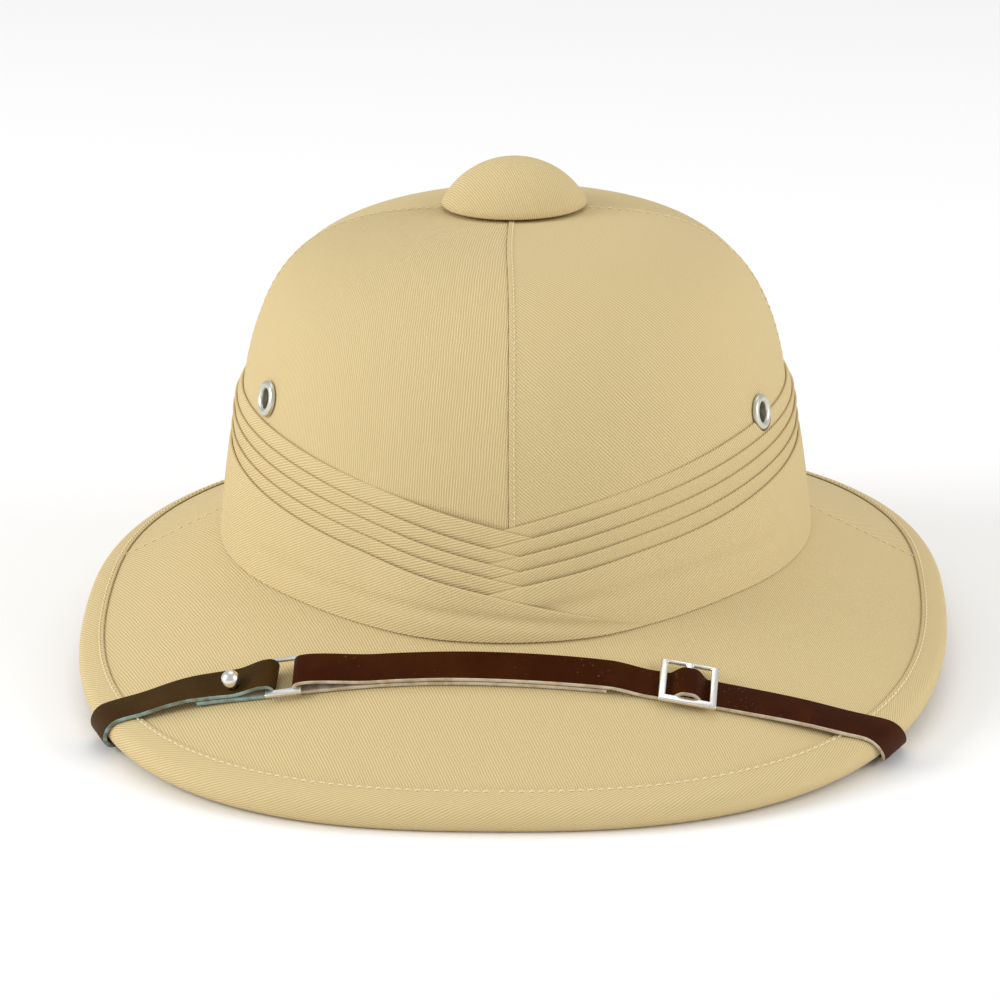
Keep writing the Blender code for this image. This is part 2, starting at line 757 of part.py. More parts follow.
def rim_station(azimuth, angle, spare):
    """World point beside the bend of the binding."""
    rim, run, up = rim_frame(azimuth)
    out, rise = binding_arc(angle, spare)
    point = rim + run * out + up * rise
    return place(azimuth, point.x, point.y)


def wrap_slant(side):
    """How far along the rim the strap goes for each unit outwards, with the azimuth and unit length of the rim."""
    x = wrap_start(side)
    y, _ = route_at(x)
    start = azimuth_of(x, y)
    ahead = strap_frame(x)[1] * side
    along = (rim_station(start + STEP, 0, 0) - rim_station(start - STEP, 0, 0)) / (2 * STEP)
    tangent = along.normalized() * side
    slant = ahead.dot(tangent) / ahead.dot(tangent.cross(brim_normal(x, y)) * side)
    return slant, start, along.length


def wrap_rim(side):
    """Stations that carry the strap slantwise round the rim, from above the brim to below it."""
    slant, start, length = wrap_slant(side)
    turn = side * slant * math.pi * (BINDING_BEND + BINDING_OVERHANG + STRAP_LOW) / length
    reach = 1 * MM / length
    stations = []
    for index in range(WRAP_ARCS + 1):
        share = index / WRAP_ARCS
        azimuth = start + turn * share
        angle = math.pi * (0.5 - share)
        spare = STRAP_LOW - CLOTH / 2 - GAP + UNDER_CLEARANCE * smooth(share)
        ahead, behind = (rim_station(azimuth + turned, angle, spare) for turned in (-side * reach, side * reach))
        stations.append((rim_station(azimuth, angle, spare), (ahead - behind).normalized() * math.hypot(1, slant)))
    return stations


def lean_into_wrap(stations, side):
    """Turns the rungs of the last stations before the wrap towards the rim's own direction."""
    slant = wrap_slant(side)[0]
    leaned = []
    for index, (middle, rung) in enumerate(stations):
        ahead = (stations[min(index + 1, len(stations) - 1)][0] - stations[max(index - 1, 0)][0]).normalized()
        to_go = (len(stations) - index) * STRAP_STATION
        leaned.append((middle, rung - ahead * (slant * smooth(1 - to_go / LEAN_LENGTH))))
    return leaned


def under_brim(side, wrap):
    """Stations below the brim from the end of the wrap to the anchor."""
    first, before = (UNREST @ wrap[index][0] for index in (-1, -2))
    slant = wrap_slant(side)[0]
    anchor = Vector((side * ANCHOR_RADIUS, 0, 0))
    span = (anchor - first).to_2d().length
    leave = (first - before).to_2d().normalized() * span
    arrive = Vector((0, span))
    count = round(span / (2 * STRAP_STATION))
    spots = []
    for index in range(count + 2):
        share = index / count
        spots.append(Vector([ease_between(share, *ends) for ends in zip(first[:2], leave, anchor[:2], arrive)]))
    stations = []
    for index in range(1, count + 1):
        spot = spots[index]
        normal = brim_normal(*spot)
        inside = rim_point(azimuth_of(*spot)).x - spot.length
        drop = BRIM_WALL + STRAP_LOW - CLOTH - GAP + UNDER_CLEARANCE
        drop += (CLOTH + GAP) * smooth((RIM_RISE_START - inside) / RIM_RISE_LENGTH)
        ahead = (brim_skin(*spots[index + 1]) - brim_skin(*spots[index - 1])).normalized()
        lean = slant * smooth(1 - index * 2 * STRAP_STATION / LEAN_LENGTH)
        stations.append((brim_skin(*spot) - normal * drop, normal.cross(ahead) * side - ahead * lean))
    middle, rung = stations[-1]
    stations.append((middle + normal.cross(rung) * side * -ANCHOR_TAIL, rung))
    return stations


def settle(x, from_x, high, low, length):
    """Lift that comes down from a high start to the low run along a length."""
    return high + (low - high) * smooth(abs(x - from_x) / length)


def slider_lift(x):
    """Lift of the strap where it rises over the slider's middle bar."""
    past = abs(x - SLIDER_X) - SLIDER_MIDDLE_BAR / 2 - GAP
    share = past / (SLIDER_LENGTH / 2 - SLIDER_BAR - SLIDER_MIDDLE_BAR / 2 - 4 * GAP)
    return (METAL + 2 * GAP + STRAP_THICKNESS) * (1 - smooth(share))


def build_strap_left(material):
    bar = LOOP_X - (LOOP_LENGTH - LOOP_SIDE_BAR) / 2
    under = stretch(UNDER_LEFT_END, bar, lambda x: STRAP_LOW)
    turn = turn_round_bar(bar, 1)
    high = loop_centre_lift() + LOOP_TURN
    doubled = STRAP_LOW + STRAP_THICKNESS + GAP

    def top_lift(x):
        single = (STRAP_THICKNESS + GAP) * smooth((UNDER_LEFT_END - x) / STEP_DOWN_LEFT)
        return settle(x, bar, high, doubled, DESCENT_LEFT) - single

    over = stretch(bar - STRAP_STATION, wrap_start(-1) + STRAP_STATION, top_lift)
    wrap = wrap_rim(-1)
    under_run = under_brim(-1, wrap)
    over = lean_into_wrap(over, -1)
    return sweep("chin_strap_left_side", under[:-1] + turn + over + wrap + under_run, material)


def build_strap_right(material):
    bar = LOOP_X + (LOOP_LENGTH - LOOP_SIDE_BAR) / 2
    under = stretch(UNDER_RIGHT_END, bar, lambda x: STRAP_LOW)
    turn = turn_round_bar(bar, -1)
    high = loop_centre_lift() + LOOP_TURN
    doubled = STRAP_LOW + STRAP_THICKNESS + GAP

    def top_lift(x):
        single = (STRAP_THICKNESS + GAP) * smooth((x - UNDER_RIGHT_END) / STEP_DOWN_RIGHT)
        return settle(x, bar, high, doubled, DESCENT_RIGHT) - single + slider_lift(x)

    enter, leave = SLIDER_X - SLIDER_LENGTH / 2, SLIDER_X + SLIDER_LENGTH / 2
    over = stretch(bar + STRAP_STATION, enter, top_lift)[:-1]
    over += stretch(enter, leave, top_lift, HUMP_STATION)
    over += stretch(leave, wrap_start(1) - STRAP_STATION, top_lift)[1:]
    wrap = wrap_rim(1)
    under_run = under_brim(1, wrap)
    over = lean_into_wrap(over, 1)
    return sweep("chin_strap_right_side", under[:-1] + turn + over + wrap + under_run, material)


def plate_frame(x, lift, aside=0.0):
    """Placement of a metal frame on the strap at x, moved aside towards the crown."""
    _, run, across, normal = strap_frame(x)
    middle = strap_point(x, lift)[0] - across * aside
    axes = Matrix((run, across, normal)).transposed().to_4x4()
    return Matrix.Translation(middle) @ axes


def build_loop(material):
    half = LOOP_LENGTH / 2
    tall = LOOP_HEIGHT / 2
    columns = (-half, LOOP_SIDE_BAR - half, half - LOOP_SIDE_BAR, half)
    rows = (-tall, LOOP_END_BAR - tall, tall - LOOP_END_BAR, tall)
    return frame_plate("strap_loop", columns, rows, {(1, 1)}, plate_frame(LOOP_X, loop_centre_lift()), material)


def build_slider(material):
    half = SLIDER_LENGTH / 2
    tall = SLIDER_HEIGHT / 2
    bar = SLIDER_MIDDLE_BAR / 2
    columns = (-half, SLIDER_BAR - half, -bar, bar, half - SLIDER_BAR, half)
    rows = (-tall, SLIDER_END_BAR - tall, tall - SLIDER_END_BAR, tall)
    lift = STRAP_LOW + STRAP_THICKNESS / 2 + GAP + METAL / 2
    frame = plate_frame(SLIDER_X, lift, SLIDER_ASIDE)
    return frame_plate("strap_slider", columns, rows, {(1, 1), (3, 1)}, frame, material)


def build_stud(strap, material):
    """A ball on a stem that buttons the folded end of the strap."""
    depth = STUD_DEPTH
    neck = STUD_BALL - math.sqrt(STUD_BALL ** 2 - STUD_STEM ** 2)
    profile = [(0, -depth), (STUD_STEM, -depth), (STUD_STEM, neck)]
    for step in range(2, STUD_ARCS + 1):
        angle = math.pi * step / STUD_ARCS - math.pi / 2
        radius = STUD_BALL * math.cos(angle) if step < STUD_ARCS else 0
        profile.append((radius, STUD_BALL * (1 + math.sin(angle))))
    lift = STRAP_LOW + STRAP_THICKNESS * 1.5 + 2 * GAP
    middle, across = strap_point(STUD_X, lift)
    seat = middle + across * STUD_ASIDE
    normal = strap_frame(STUD_X)[3]
    turned("strap_stud", profile, material, seat, normal, SMALL_SEGMENTS)
    drill("stud_hole", (strap,), seat, normal, STUD_STEM + HOLE_CLEARANCE, DRILL_SPARE, 2 * depth)


def build_anchor(name, side, strap, shell, material):
    """A rivet that holds an end of the strap to the underside of the brim."""
    x = side * ANCHOR_RADIUS
    normal = -brim_normal(x, 0)
    depth = STRAP_THICKNESS + 2 * GAP + UNDER_CLEARANCE
    under = brim_skin(x, 0) + normal * (BRIM_WALL + depth)
    depth += RIVET_DEPTH
    profile = (
        (0, -depth),
        (RIVET_STEM, -depth),
        (RIVET_STEM, 0),
        (RIVET_HEAD, 0),
        (RIVET_HEAD, RIVET_HEAD_THICKNESS / 2),
        (RIVET_HEAD * 0.7, RIVET_HEAD_THICKNESS),
        (0, RIVET_HEAD_THICKNESS),
    )
    turned(name, profile, material, under, normal, SMALL_SEGMENTS)
    drill(name + "_hole", (strap, shell), under, normal, RIVET_STEM + HOLE_CLEARANCE, DRILL_SPARE, depth + GAP)


def main():
    for thing in list(bpy.data.objects):
        bpy.data.objects.remove(thing, do_unlink=True)
    pith = make_material("pith", (0.62, 0.52, 0.36), 0.9)
    cloth = make_material("khaki_cloth", (0.70, 0.58, 0.36), 0.85)
    metal = make_material("nickel", (0.72, 0.71, 0.69), 0.3, 1.0)
    leather = make_material("leather", (0.16, 0.07, 0.04), 0.5)
    shell = build_shell(pith)
    panels = build_crown_panels(cloth)
    build_brim_covers(cloth)
    build_binding(cloth)
    folds = [build_fold(index + 1, cloth) for index in range(len(FOLDS))]
    build_button(cloth)
    right, left = (EYELET_RIGHT_AZIMUTH, EYELET_RIGHT_HEIGHT), (EYELET_LEFT_AZIMUTH, EYELET_LEFT_HEIGHT)
    build_eyelet("eyelet_right_side", *right, shell, panels[0], folds[0], metal)
    build_eyelet("eyelet_left_side", *left, shell, panels[-1], folds[0], metal)
    strap_left = build_strap_left(leather)
    strap_right = build_strap_right(leather)
    build_loop(metal)
    build_slider(metal)
    build_stud(strap_left, metal)
    build_anchor("strap_rivet_left_side", -1, strap_left, shell, metal)
    build_anchor("strap_rivet_right_side", 1, strap_right, shell, metal)


main()
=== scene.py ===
"""Dressed model of a cloth-covered pith helmet with a pleated pugaree, a top button and a chin strap.

Each sub-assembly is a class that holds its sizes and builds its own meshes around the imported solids. Lengths are in
metres. Azimuth 0 is the front of the helmet and grows towards +X. Heights in the tables are measured from the foot
of the pugaree, in the helmet's own frame, which HelmetForm places in the world.
"""
import logging
import math
from collections.abc import Callable
from dataclasses import dataclass
from enum import Enum

import bmesh
import bpy
import numpy as np
from bpy.types import Material, Mesh, Node, NodeSocket, NodeTree, Object
from mathutils import Matrix, Vector


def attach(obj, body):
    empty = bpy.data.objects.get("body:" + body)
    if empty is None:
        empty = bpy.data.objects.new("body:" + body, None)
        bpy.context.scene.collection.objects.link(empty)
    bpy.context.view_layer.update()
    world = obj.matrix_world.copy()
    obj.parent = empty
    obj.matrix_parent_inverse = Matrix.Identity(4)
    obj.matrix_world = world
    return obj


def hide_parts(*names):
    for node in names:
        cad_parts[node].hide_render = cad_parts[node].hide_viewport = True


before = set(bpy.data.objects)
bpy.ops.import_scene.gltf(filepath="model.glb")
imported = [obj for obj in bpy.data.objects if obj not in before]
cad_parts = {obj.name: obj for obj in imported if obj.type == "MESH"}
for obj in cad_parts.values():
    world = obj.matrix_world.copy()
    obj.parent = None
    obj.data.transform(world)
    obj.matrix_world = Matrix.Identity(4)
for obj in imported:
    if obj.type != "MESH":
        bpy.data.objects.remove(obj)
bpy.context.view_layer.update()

LOG = logging.getLogger("pith_helmet")
MM = 0.001
TURN = 2 * math.pi
GAP = 0.3 * MM
CLOTH = 1.0 * MM
SEAM_GAP = 0.04 * MM
EDGE_STEPS = np.array([0.0, 0.08, 0.2, 0.4, 0.8, 1.2, 1.6, 2.0, 2.5, 3.2, 4.5]) * MM
BODY = "root"
CLOTH_MAP = "cloth"
Colour = tuple[float, float, float]
Pair = tuple[np.ndarray, np.ndarray]


class Side(Enum):
    """Side of the front view, as the sign of X."""

    LEFT = -1
    RIGHT = 1


class Slot(Enum):
    """Material slots of the record."""

    PITH = "pith"
    CLOTH = "khaki_cloth"
    GREY_LEATHER = "grey_leather"
    BROWN_LEATHER = "brown_leather"
    NICKEL = "nickel"


# ---------------------------------------------------------------- small sums

def smooth(value: float | np.ndarray) -> float | np.ndarray:
    """Eases a share of the way with flat ends, and keeps it between 0 and 1."""
    t = np.clip(value, 0.0, 1.0)
    return t * t * (3 - 2 * t)


def ease_between(share: float, start: float, start_slope: float, end: float, end_slope: float) -> float:
    """Smooth curve between two values that leaves and arrives at given slopes.

    Args:
        share: Share of the way from start to end.
        start: Value at share 0.
        start_slope: Slope there, over the whole span.
        end: Value at share 1.
        end_slope: Slope there, over the whole span.

    Returns:
        The value at the share.
    """
    return (
        start * (2 * share ** 3 - 3 * share ** 2 + 1)
        + start_slope * (share ** 3 - 2 * share ** 2 + share)
        + end * (3 * share ** 2 - 2 * share ** 3)
        + end_slope * (share ** 3 - share ** 2)
    )


def offset_path(path: np.ndarray, distance: float | np.ndarray) -> np.ndarray:
    """Moves a section's points along its normal, which is on the left of the path turned outwards.

    Args:
        path: Points (radius, height), top or inner end first.
        distance: One distance, or one for each point.

    Returns:
        The moved points.
    """
    run = np.gradient(path, axis=0)
    run /= np.linalg.norm(run, axis=1)[:, None]
    normal = np.stack([-run[:, 1], run[:, 0]], axis=1)
    return path + normal * np.reshape(distance, (-1, 1))


def path_lengths(path: np.ndarray) -> np.ndarray:
    """Arc length from the first point of a path to each of its points."""
    steps = np.linalg.norm(np.diff(path, axis=0), axis=1)
    return np.concatenate([[0.0], np.cumsum(steps)])


def rounded_edge(distance: np.ndarray, rounding: float, least: float) -> np.ndarray:
    """Share of its thickness that a layer has at a distance from its edge, least at the edge and round from there."""
    share = 1 - np.clip(distance / rounding, 0.0, 1.0)
    return least + (1 - least) * np.sqrt(1 - share ** 2)


# ---------------------------------------------------------------- form of the helmet

@dataclass(frozen=True)
class HelmetForm:
    """Sizes of the pith shell, which every cloth piece follows."""

    half_width: float = 96.4 * MM
    length_ratio: float = 1.16
    crown_height: float = 109.6 * MM
    radius_power: float = 4.1
    height_power: float = 3.2
    top_hole: float = 8.1 * MM
    top_shift: float = 12.0 * MM
    top_shift_reach: float = 50.0 * MM
    crown_wall: float = 9.0 * MM
    brim_wall: float = 7.0 * MM
    foot_height: float = 2.4 * MM
    foot_front_dip: float = 1.2 * MM
    rim_half_width: float = 150.3 * MM
    rim_front: float = 191.0 * MM
    rim_back: float = 200.0 * MM
    front_left_power: float = 2.65
    front_right_power: float = 2.52
    back_power: float = 2.4
    rim_side_height: float = -25.0 * MM
    rim_front_dip: float = 12.0 * MM
    rim_back_dip: float = 9.0 * MM
    dip_rounding: float = 0.12
    lean: float = -0.007101
    shift_y: float = -4.24 * MM
    shift_z: float = 42.338 * MM

    @property
    def rest(self) -> Matrix:
        """Placement of the helmet's own frame in the world, leaned onto its rim."""
        return Matrix.Translation((0, self.shift_y, self.shift_z)) @ Matrix.Rotation(self.lean, 4, "X")

    def oval(self, azimuth: float | np.ndarray, half_width: float, front: float, power: float) -> np.ndarray:
        """Distance from the axis to a superellipse with half axes along X and Y."""
        across, along = np.abs(np.sin(azimuth) / half_width), np.abs(np.cos(azimuth) / front)
        return (across ** power + along ** power) ** (-1 / power)

    def foot_radius(self, azimuth: float | np.ndarray) -> np.ndarray:
        """Radius of the crown at its foot."""
        return self.oval(azimuth, self.half_width, self.half_width * self.length_ratio, 2)

    def crown_radius(self, azimuth: float | np.ndarray, height: float | np.ndarray) -> np.ndarray:
        """Radius of the shell's crown at a height above the pugaree's foot."""
        share = np.clip(height / self.crown_height, 0.0, 1.0)
        return self.foot_radius(azimuth) * (1 - share ** self.height_power) ** (1 / self.radius_power)

    def foot(self, azimuth: float) -> np.ndarray:
        """Where the crown meets the brim, as (radius, height)."""
        dip = self.foot_front_dip * max(math.cos(azimuth), 0.0) ** 2
        return np.array([self.foot_radius(azimuth), self.foot_height - dip])

    def rim(self, azimuth: float) -> np.ndarray:
        """Upper outer edge of the rim, as (radius, height).

        Args:
            azimuth: Direction from the front.

        Returns:
            The point of the section.
        """
        if math.cos(azimuth) > 0:
            length, most = self.rim_front, self.rim_front_dip
            power = self.front_right_power if math.sin(azimuth) > 0 else self.front_left_power
        else:
            length, power, most = self.rim_back, self.back_power, self.rim_back_dip
        dip = math.hypot(math.cos(azimuth), self.dip_rounding) - self.dip_rounding
        full = math.hypot(1, self.dip_rounding) - self.dip_rounding
        radius = self.oval(azimuth, self.rim_half_width, length, power)
        return np.array([radius, self.rim_side_height - most * dip / full])

    def rim_frame(self, azimuth: float) -> tuple[np.ndarray, np.ndarray, np.ndarray]:
        """Rim point with the brim's outward run and upward normal.

        Args:
            azimuth: Direction from the front.

        Returns:
            The rim point, the run and the normal, in the section.
        """
        rim = self.rim(azimuth)
        run = rim - self.foot(azimuth)
        run = run / np.linalg.norm(run)
        return rim, run, np.array([-run[1], run[0]])

    def brim_height(self, azimuth: float, radius: float) -> float:
        """Height of the shell's upper brim surface at a radius."""
        foot, rim = self.foot(azimuth), self.rim(azimuth)
        return foot[1] + (rim[1] - foot[1]) * (radius - foot[0]) / (rim[0] - foot[0])

    def crown_path(self, azimuth: float, rows: int, low: float) -> np.ndarray:
        """Crown from the top hole downwards.

        Args:
            azimuth: Direction from the front.
            rows: Number of points.
            low: Height of the last point.

        Returns:
            Points (radius, height).
        """
        top_angle = math.acos((self.top_hole / self.foot_radius(azimuth)) ** (self.radius_power / 2))
        low_angle = math.asin((low / self.crown_height) ** (self.height_power / 2))
        angles = np.linspace(top_angle, low_angle, rows)
        heights = self.crown_height * np.sin(angles) ** (2 / self.height_power)
        return np.stack([self.crown_radius(azimuth, heights), heights], axis=1)

    def top_back(self, radius: float | np.ndarray) -> float | np.ndarray:
        """How far the crown stands back at a radius; its top is set back from the middle."""
        return self.top_shift * (1 - smooth((radius - self.top_hole) / self.top_shift_reach))

    def place(self, azimuth: float | np.ndarray, section: np.ndarray) -> np.ndarray:
        """World positions of a section's points.

        Args:
            azimuth: One direction for the section, or one for each point.
            section: Points (radius, height).

        Returns:
            Points (x, y, z).
        """
        radius, height = section[..., 0], section[..., 1]
        back = self.top_back(radius)
        own = np.stack([radius * np.sin(azimuth), back - radius * np.cos(azimuth), height], axis=-1)
        turn = np.array(self.rest.to_3x3())
        return own @ turn.T + np.array(self.rest.translation)

    def crown_skin(self, azimuth: float, height: float) -> Vector:
        """World point of the shell's crown."""
        return Vector(self.place(azimuth, np.array([float(self.crown_radius(azimuth, height)), height])))

    def brim_skin(self, x: float, y: float) -> Vector:
        """World point of the shell's brim above or below a point of the plan."""
        azimuth, radius = math.atan2(x, -y), math.hypot(x, y)
        return Vector(self.place(azimuth, np.array([radius, self.brim_height(azimuth, radius)])))

    def brim_normal(self, x: float, y: float) -> Vector:
        """Upward unit normal of the brim at a point of the plan."""
        along_x, along_y = (self.brim_skin(x + a, y + b) - self.brim_skin(x - a, y - b) for a, b in ((MM, 0), (0, MM)))
        return along_x.cross(along_y).normalized()


FORM = HelmetForm()


def placed_round(section: Callable[[float], Pair], columns: int) -> Pair:
    """Places a section all the way round the helmet.

    Args:
        section: Gives the outer and inner points (radius, height) at an azimuth.
        columns: Number of places.

    Returns:
        Outer and inner grid of columns, rows and X, Y, Z.
    """
    angles = np.linspace(0, TURN, columns, endpoint=False)
    sections = [section(angle) for angle in angles]
    outer, inner = (
        np.array([FORM.place(angle, pair[face]) for angle, pair in zip(angles, sections)]) for face in (0, 1)
    )
    return outer, inner


def cloth_coordinates(grid: np.ndarray, from_end: bool = False, shared: bool = False) -> np.ndarray:
    """Flat coordinates of a grid of cloth: lengths along its columns and rows.

    Args:
        grid: Columns, rows and X, Y, Z.
        from_end: Whether U is counted back from the last column.
        shared: Whether every row has the U of the middle one, as in a strip that is stretched to shape.

    Returns:
        Columns, rows and U, V.
    """
    columns, rows, _ = grid.shape
    across = np.linalg.norm(np.diff(grid, axis=0), axis=2)
    down = np.linalg.norm(np.diff(grid, axis=1), axis=2)
    if shared:
        across = np.repeat(across[:, rows // 2, None], rows, axis=1)
    else:
        down = np.broadcast_to(down[-1 if from_end else 0], down.shape)
    u = np.concatenate([np.zeros((1, rows)), np.cumsum(across, axis=0)])
    v = -np.concatenate([np.zeros((columns, 1)), np.cumsum(down, axis=1)], axis=1)
    return np.stack([u - u[-1] if from_end else u, v], axis=-1)


# ---------------------------------------------------------------- meshes

def add_object(name: str, data: Mesh | bpy.types.Light | bpy.types.Camera) -> Object:
    """Adds an object to the scene.

    Args:
        name: Its name.
        data: What it shows.

    Returns:
        The object.
    """
    item = bpy.data.objects.new(name, data)
    bpy.context.scene.collection.objects.link(item)
    return item


def aimed(point: Vector, axis: Vector) -> Matrix:
    """Placement at a point with Z along an axis."""
    return Matrix.Translation(point) @ Vector((0, 0, 1)).rotation_difference(axis).to_matrix().to_4x4()


@dataclass(frozen=True)
class Maker:
    """Turns arrays of points into named pieces that ride on the helmet."""

    sharp: float = math.radians(38)
    drill_sides: int = 32

    def finish_piece(self, mesh: Mesh, materials: list[Material], slot: Slot, nodes: tuple[str, ...] = ()) -> Object:
        """Gives a mesh its object, materials and body.

        Args:
            mesh: Mesh of the piece, with its name, in world positions.
            materials: Materials in the order of the faces' indices.
            slot: Material slot of the record; not used.
            nodes: Nodes that the piece stands for.

        Returns:
            The object.
        """
        for material in materials:
            mesh.materials.append(material)
        mesh.shade_smooth()
        mesh.set_sharp_from_angle(angle=self.sharp)
        piece = add_object(mesh.name, mesh)
        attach(piece, BODY)
        if nodes:
            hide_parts(*nodes)
        return piece

    def mesh_from(self, name: str, points: np.ndarray, faces: list[tuple[int, ...]],
                  map_points: np.ndarray | None = None, indices: np.ndarray | None = None) -> Mesh:
        """Makes a closed mesh whose faces look outwards.

        Args:
            name: Name of the mesh.
            points: Its vertices.
            faces: Its faces, all wound the same way.
            map_points: Cloth coordinates of each face corner, in the order of the faces.
            indices: Material index of each face.

        Returns:
            The mesh.
        """
        mesh = bpy.data.meshes.new(name)
        mesh.from_pydata([tuple(p) for p in points], [], faces)
        if map_points is not None:
            layer = mesh.uv_layers.new(name=CLOTH_MAP)
            layer.data.foreach_set("uv", np.asarray(map_points, np.float32).ravel())
        if indices is not None:
            mesh.polygons.foreach_set("material_index", np.asarray(indices, np.int32))
        draft = bmesh.new()
        draft.from_mesh(mesh)
        if draft.calc_volume(signed=True) < 0:
            bmesh.ops.reverse_faces(draft, faces=draft.faces)
        draft.to_mesh(mesh)
        draft.free()
        return mesh

    def loft(self, name: str, rings: np.ndarray, coordinates: np.ndarray, closed: bool,
             indices: np.ndarray | None = None) -> Mesh:
        """Joins ring-shaped sections into a tube, closed on itself or capped.

        Args:
            name: Name of the mesh.
            rings: Array of columns, points of the ring and X, Y, Z.
            coordinates: Cloth coordinates, with one more column where the tube closes on itself and one more point
                where the ring does.
            closed: Whether the last column joins the first.
            indices: Material index for each step round the ring.

        Returns:
            The mesh.
        """
        columns, size, _ = rings.shape
        spans = columns if closed else columns - 1
        near = np.arange(spans)[:, None]
        far = (near + 1) % columns
        step = np.arange(size)[None, :]
        after = (step + 1) % size
        quads = np.stack([near * size + step, near * size + after, far * size + after, far * size + step], axis=-1)
        span = near + np.zeros_like(step)
        spot = step + np.zeros_like(near)
        corners = np.stack([
            coordinates[span, spot], coordinates[span, spot + 1],
            coordinates[span + 1, spot + 1], coordinates[span + 1, spot],
        ], axis=2)
        faces = [tuple(face) for face in quads.reshape(-1, 4).tolist()]
        maps = corners.reshape(-1, 2)
        slots = np.tile(indices, spans) if indices is not None else np.zeros(len(faces), int)
        if not closed:
            for column, turn in ((0, -1), (columns - 1, 1)):
                caps = []
                for row in range(size // 2 - 1):
                    cap = (row, row + 1, size - 2 - row, size - 1 - row)[::turn]
                    caps.append(tuple(column * size + index for index in cap))
                    maps = np.concatenate([maps, coordinates[column, list(cap)]])
                faces += caps
                slots = np.concatenate([slots, np.full(len(caps), slots[0])])
        return self.mesh_from(name, rings.reshape(-1, 3), faces, maps, slots)

    def skin(self, name: str, grids: Pair, coordinates: np.ndarray, closed: bool, material: Material, slot: Slot,
             nodes: tuple[str, ...]) -> Object:
        """A thin closed piece between an outer and an inner grid.

        Args:
            name: Name of the piece.
            grids: Outer and inner grid of columns, rows and X, Y, Z.
            coordinates: Cloth coordinates of the outer grid, with one more column where it closes on itself.
            closed: Whether the last column joins the first.
            material: Its material.
            slot: Material slot of the record.
            nodes: Nodes that the piece stands for.

        Returns:
            The piece.
        """
        outer, inner = grids
        rings = np.concatenate([outer, inner[:, ::-1]], axis=1)
        ring_map = np.concatenate([coordinates, coordinates[:, ::-1], coordinates[:, :1]], axis=1)
        return self.finish_piece(self.loft(name, rings, ring_map, closed), [material], slot, nodes)

    def turned(self, name: str, profile: list[tuple[float, float]], place: Matrix, segments: int,
               material: Material, slot: Slot, nodes: tuple[str, ...]) -> Object:
        """A solid of revolution.

        Args:
            name: Name of the piece.
            profile: Points (radius, height); a closed outline where it never meets the axis.
            place: Placement of its foot and axis.
            segments: Steps round the axis.
            material: Its material.
            slot: Material slot of the record.
            nodes: Nodes that the piece stands for.

        Returns:
            The piece.
        """
        lengths = path_lengths(np.array(profile))
        points: list[Vector] = []
        flat: list[tuple[float, float]] = []
        rings: list[list[int]] = []
        for (radius, height), reach in zip(profile, lengths[-1] - lengths):
            start = len(points)
            if radius == 0:
                points.append(place @ Vector((0, 0, height)))
                flat.append((0.0, 0.0))
                rings.append([start] * segments)
                continue
            for index in range(segments):
                angle = TURN * index / segments
                points.append(place @ Vector((radius * math.cos(angle), radius * math.sin(angle), height)))
                flat.append((reach * math.cos(angle), reach * math.sin(angle)))
            rings.append(list(range(start, start + segments)))
        hollow = profile[0][0] > 0
        faces = []
        for ring, after in zip(rings, rings[1:] + rings[:1] if hollow else rings[1:]):
            for index in range(segments):
                corners = (ring[index - 1], ring[index], after[index], after[index - 1])
                faces.append(tuple(dict.fromkeys(corners)))
        maps = np.concatenate([np.array(flat)[list(face)] for face in faces])
        return self.finish_piece(self.mesh_from(name, np.array(points), faces, maps), [material], slot, nodes)

    def drill(self, piece: Object, point: Vector, axis: Vector, radius: float, depth: float) -> None:
        """Cuts a round hole through a piece.

        Args:
            piece: Piece to cut.
            point: Middle of the hole.
            axis: Direction of the hole.
            radius: Its radius.
            depth: Length of the cut, half on each side of the point.
        """
        draft = bmesh.new()
        bmesh.ops.create_cone(
            draft, cap_ends=True, segments=self.drill_sides, radius1=radius, radius2=radius, depth=depth)
        draft.transform(aimed(point, axis))
        mesh = bpy.data.meshes.new("drill")
        draft.to_mesh(mesh)
        draft.free()
        mesh.materials.append(piece.data.materials[0])
        cutter = add_object("drill", mesh)
        cut = piece.modifiers.new("hole", "BOOLEAN")
        cut.operation = "DIFFERENCE"
        cut.solver = "EXACT"
        cut.object = cutter
        graph = bpy.context.evaluated_depsgraph_get()
        holed = bpy.data.meshes.new_from_object(piece.evaluated_get(graph))
        piece.modifiers.clear()
        piece.data = holed
        bpy.data.objects.remove(cutter)


MAKER = Maker()


# ---------------------------------------------------------------- shader building

def dimmed(colour: Colour, share: float) -> Colour:
    """A darker shade of a colour."""
    return tuple(part * share for part in colour)


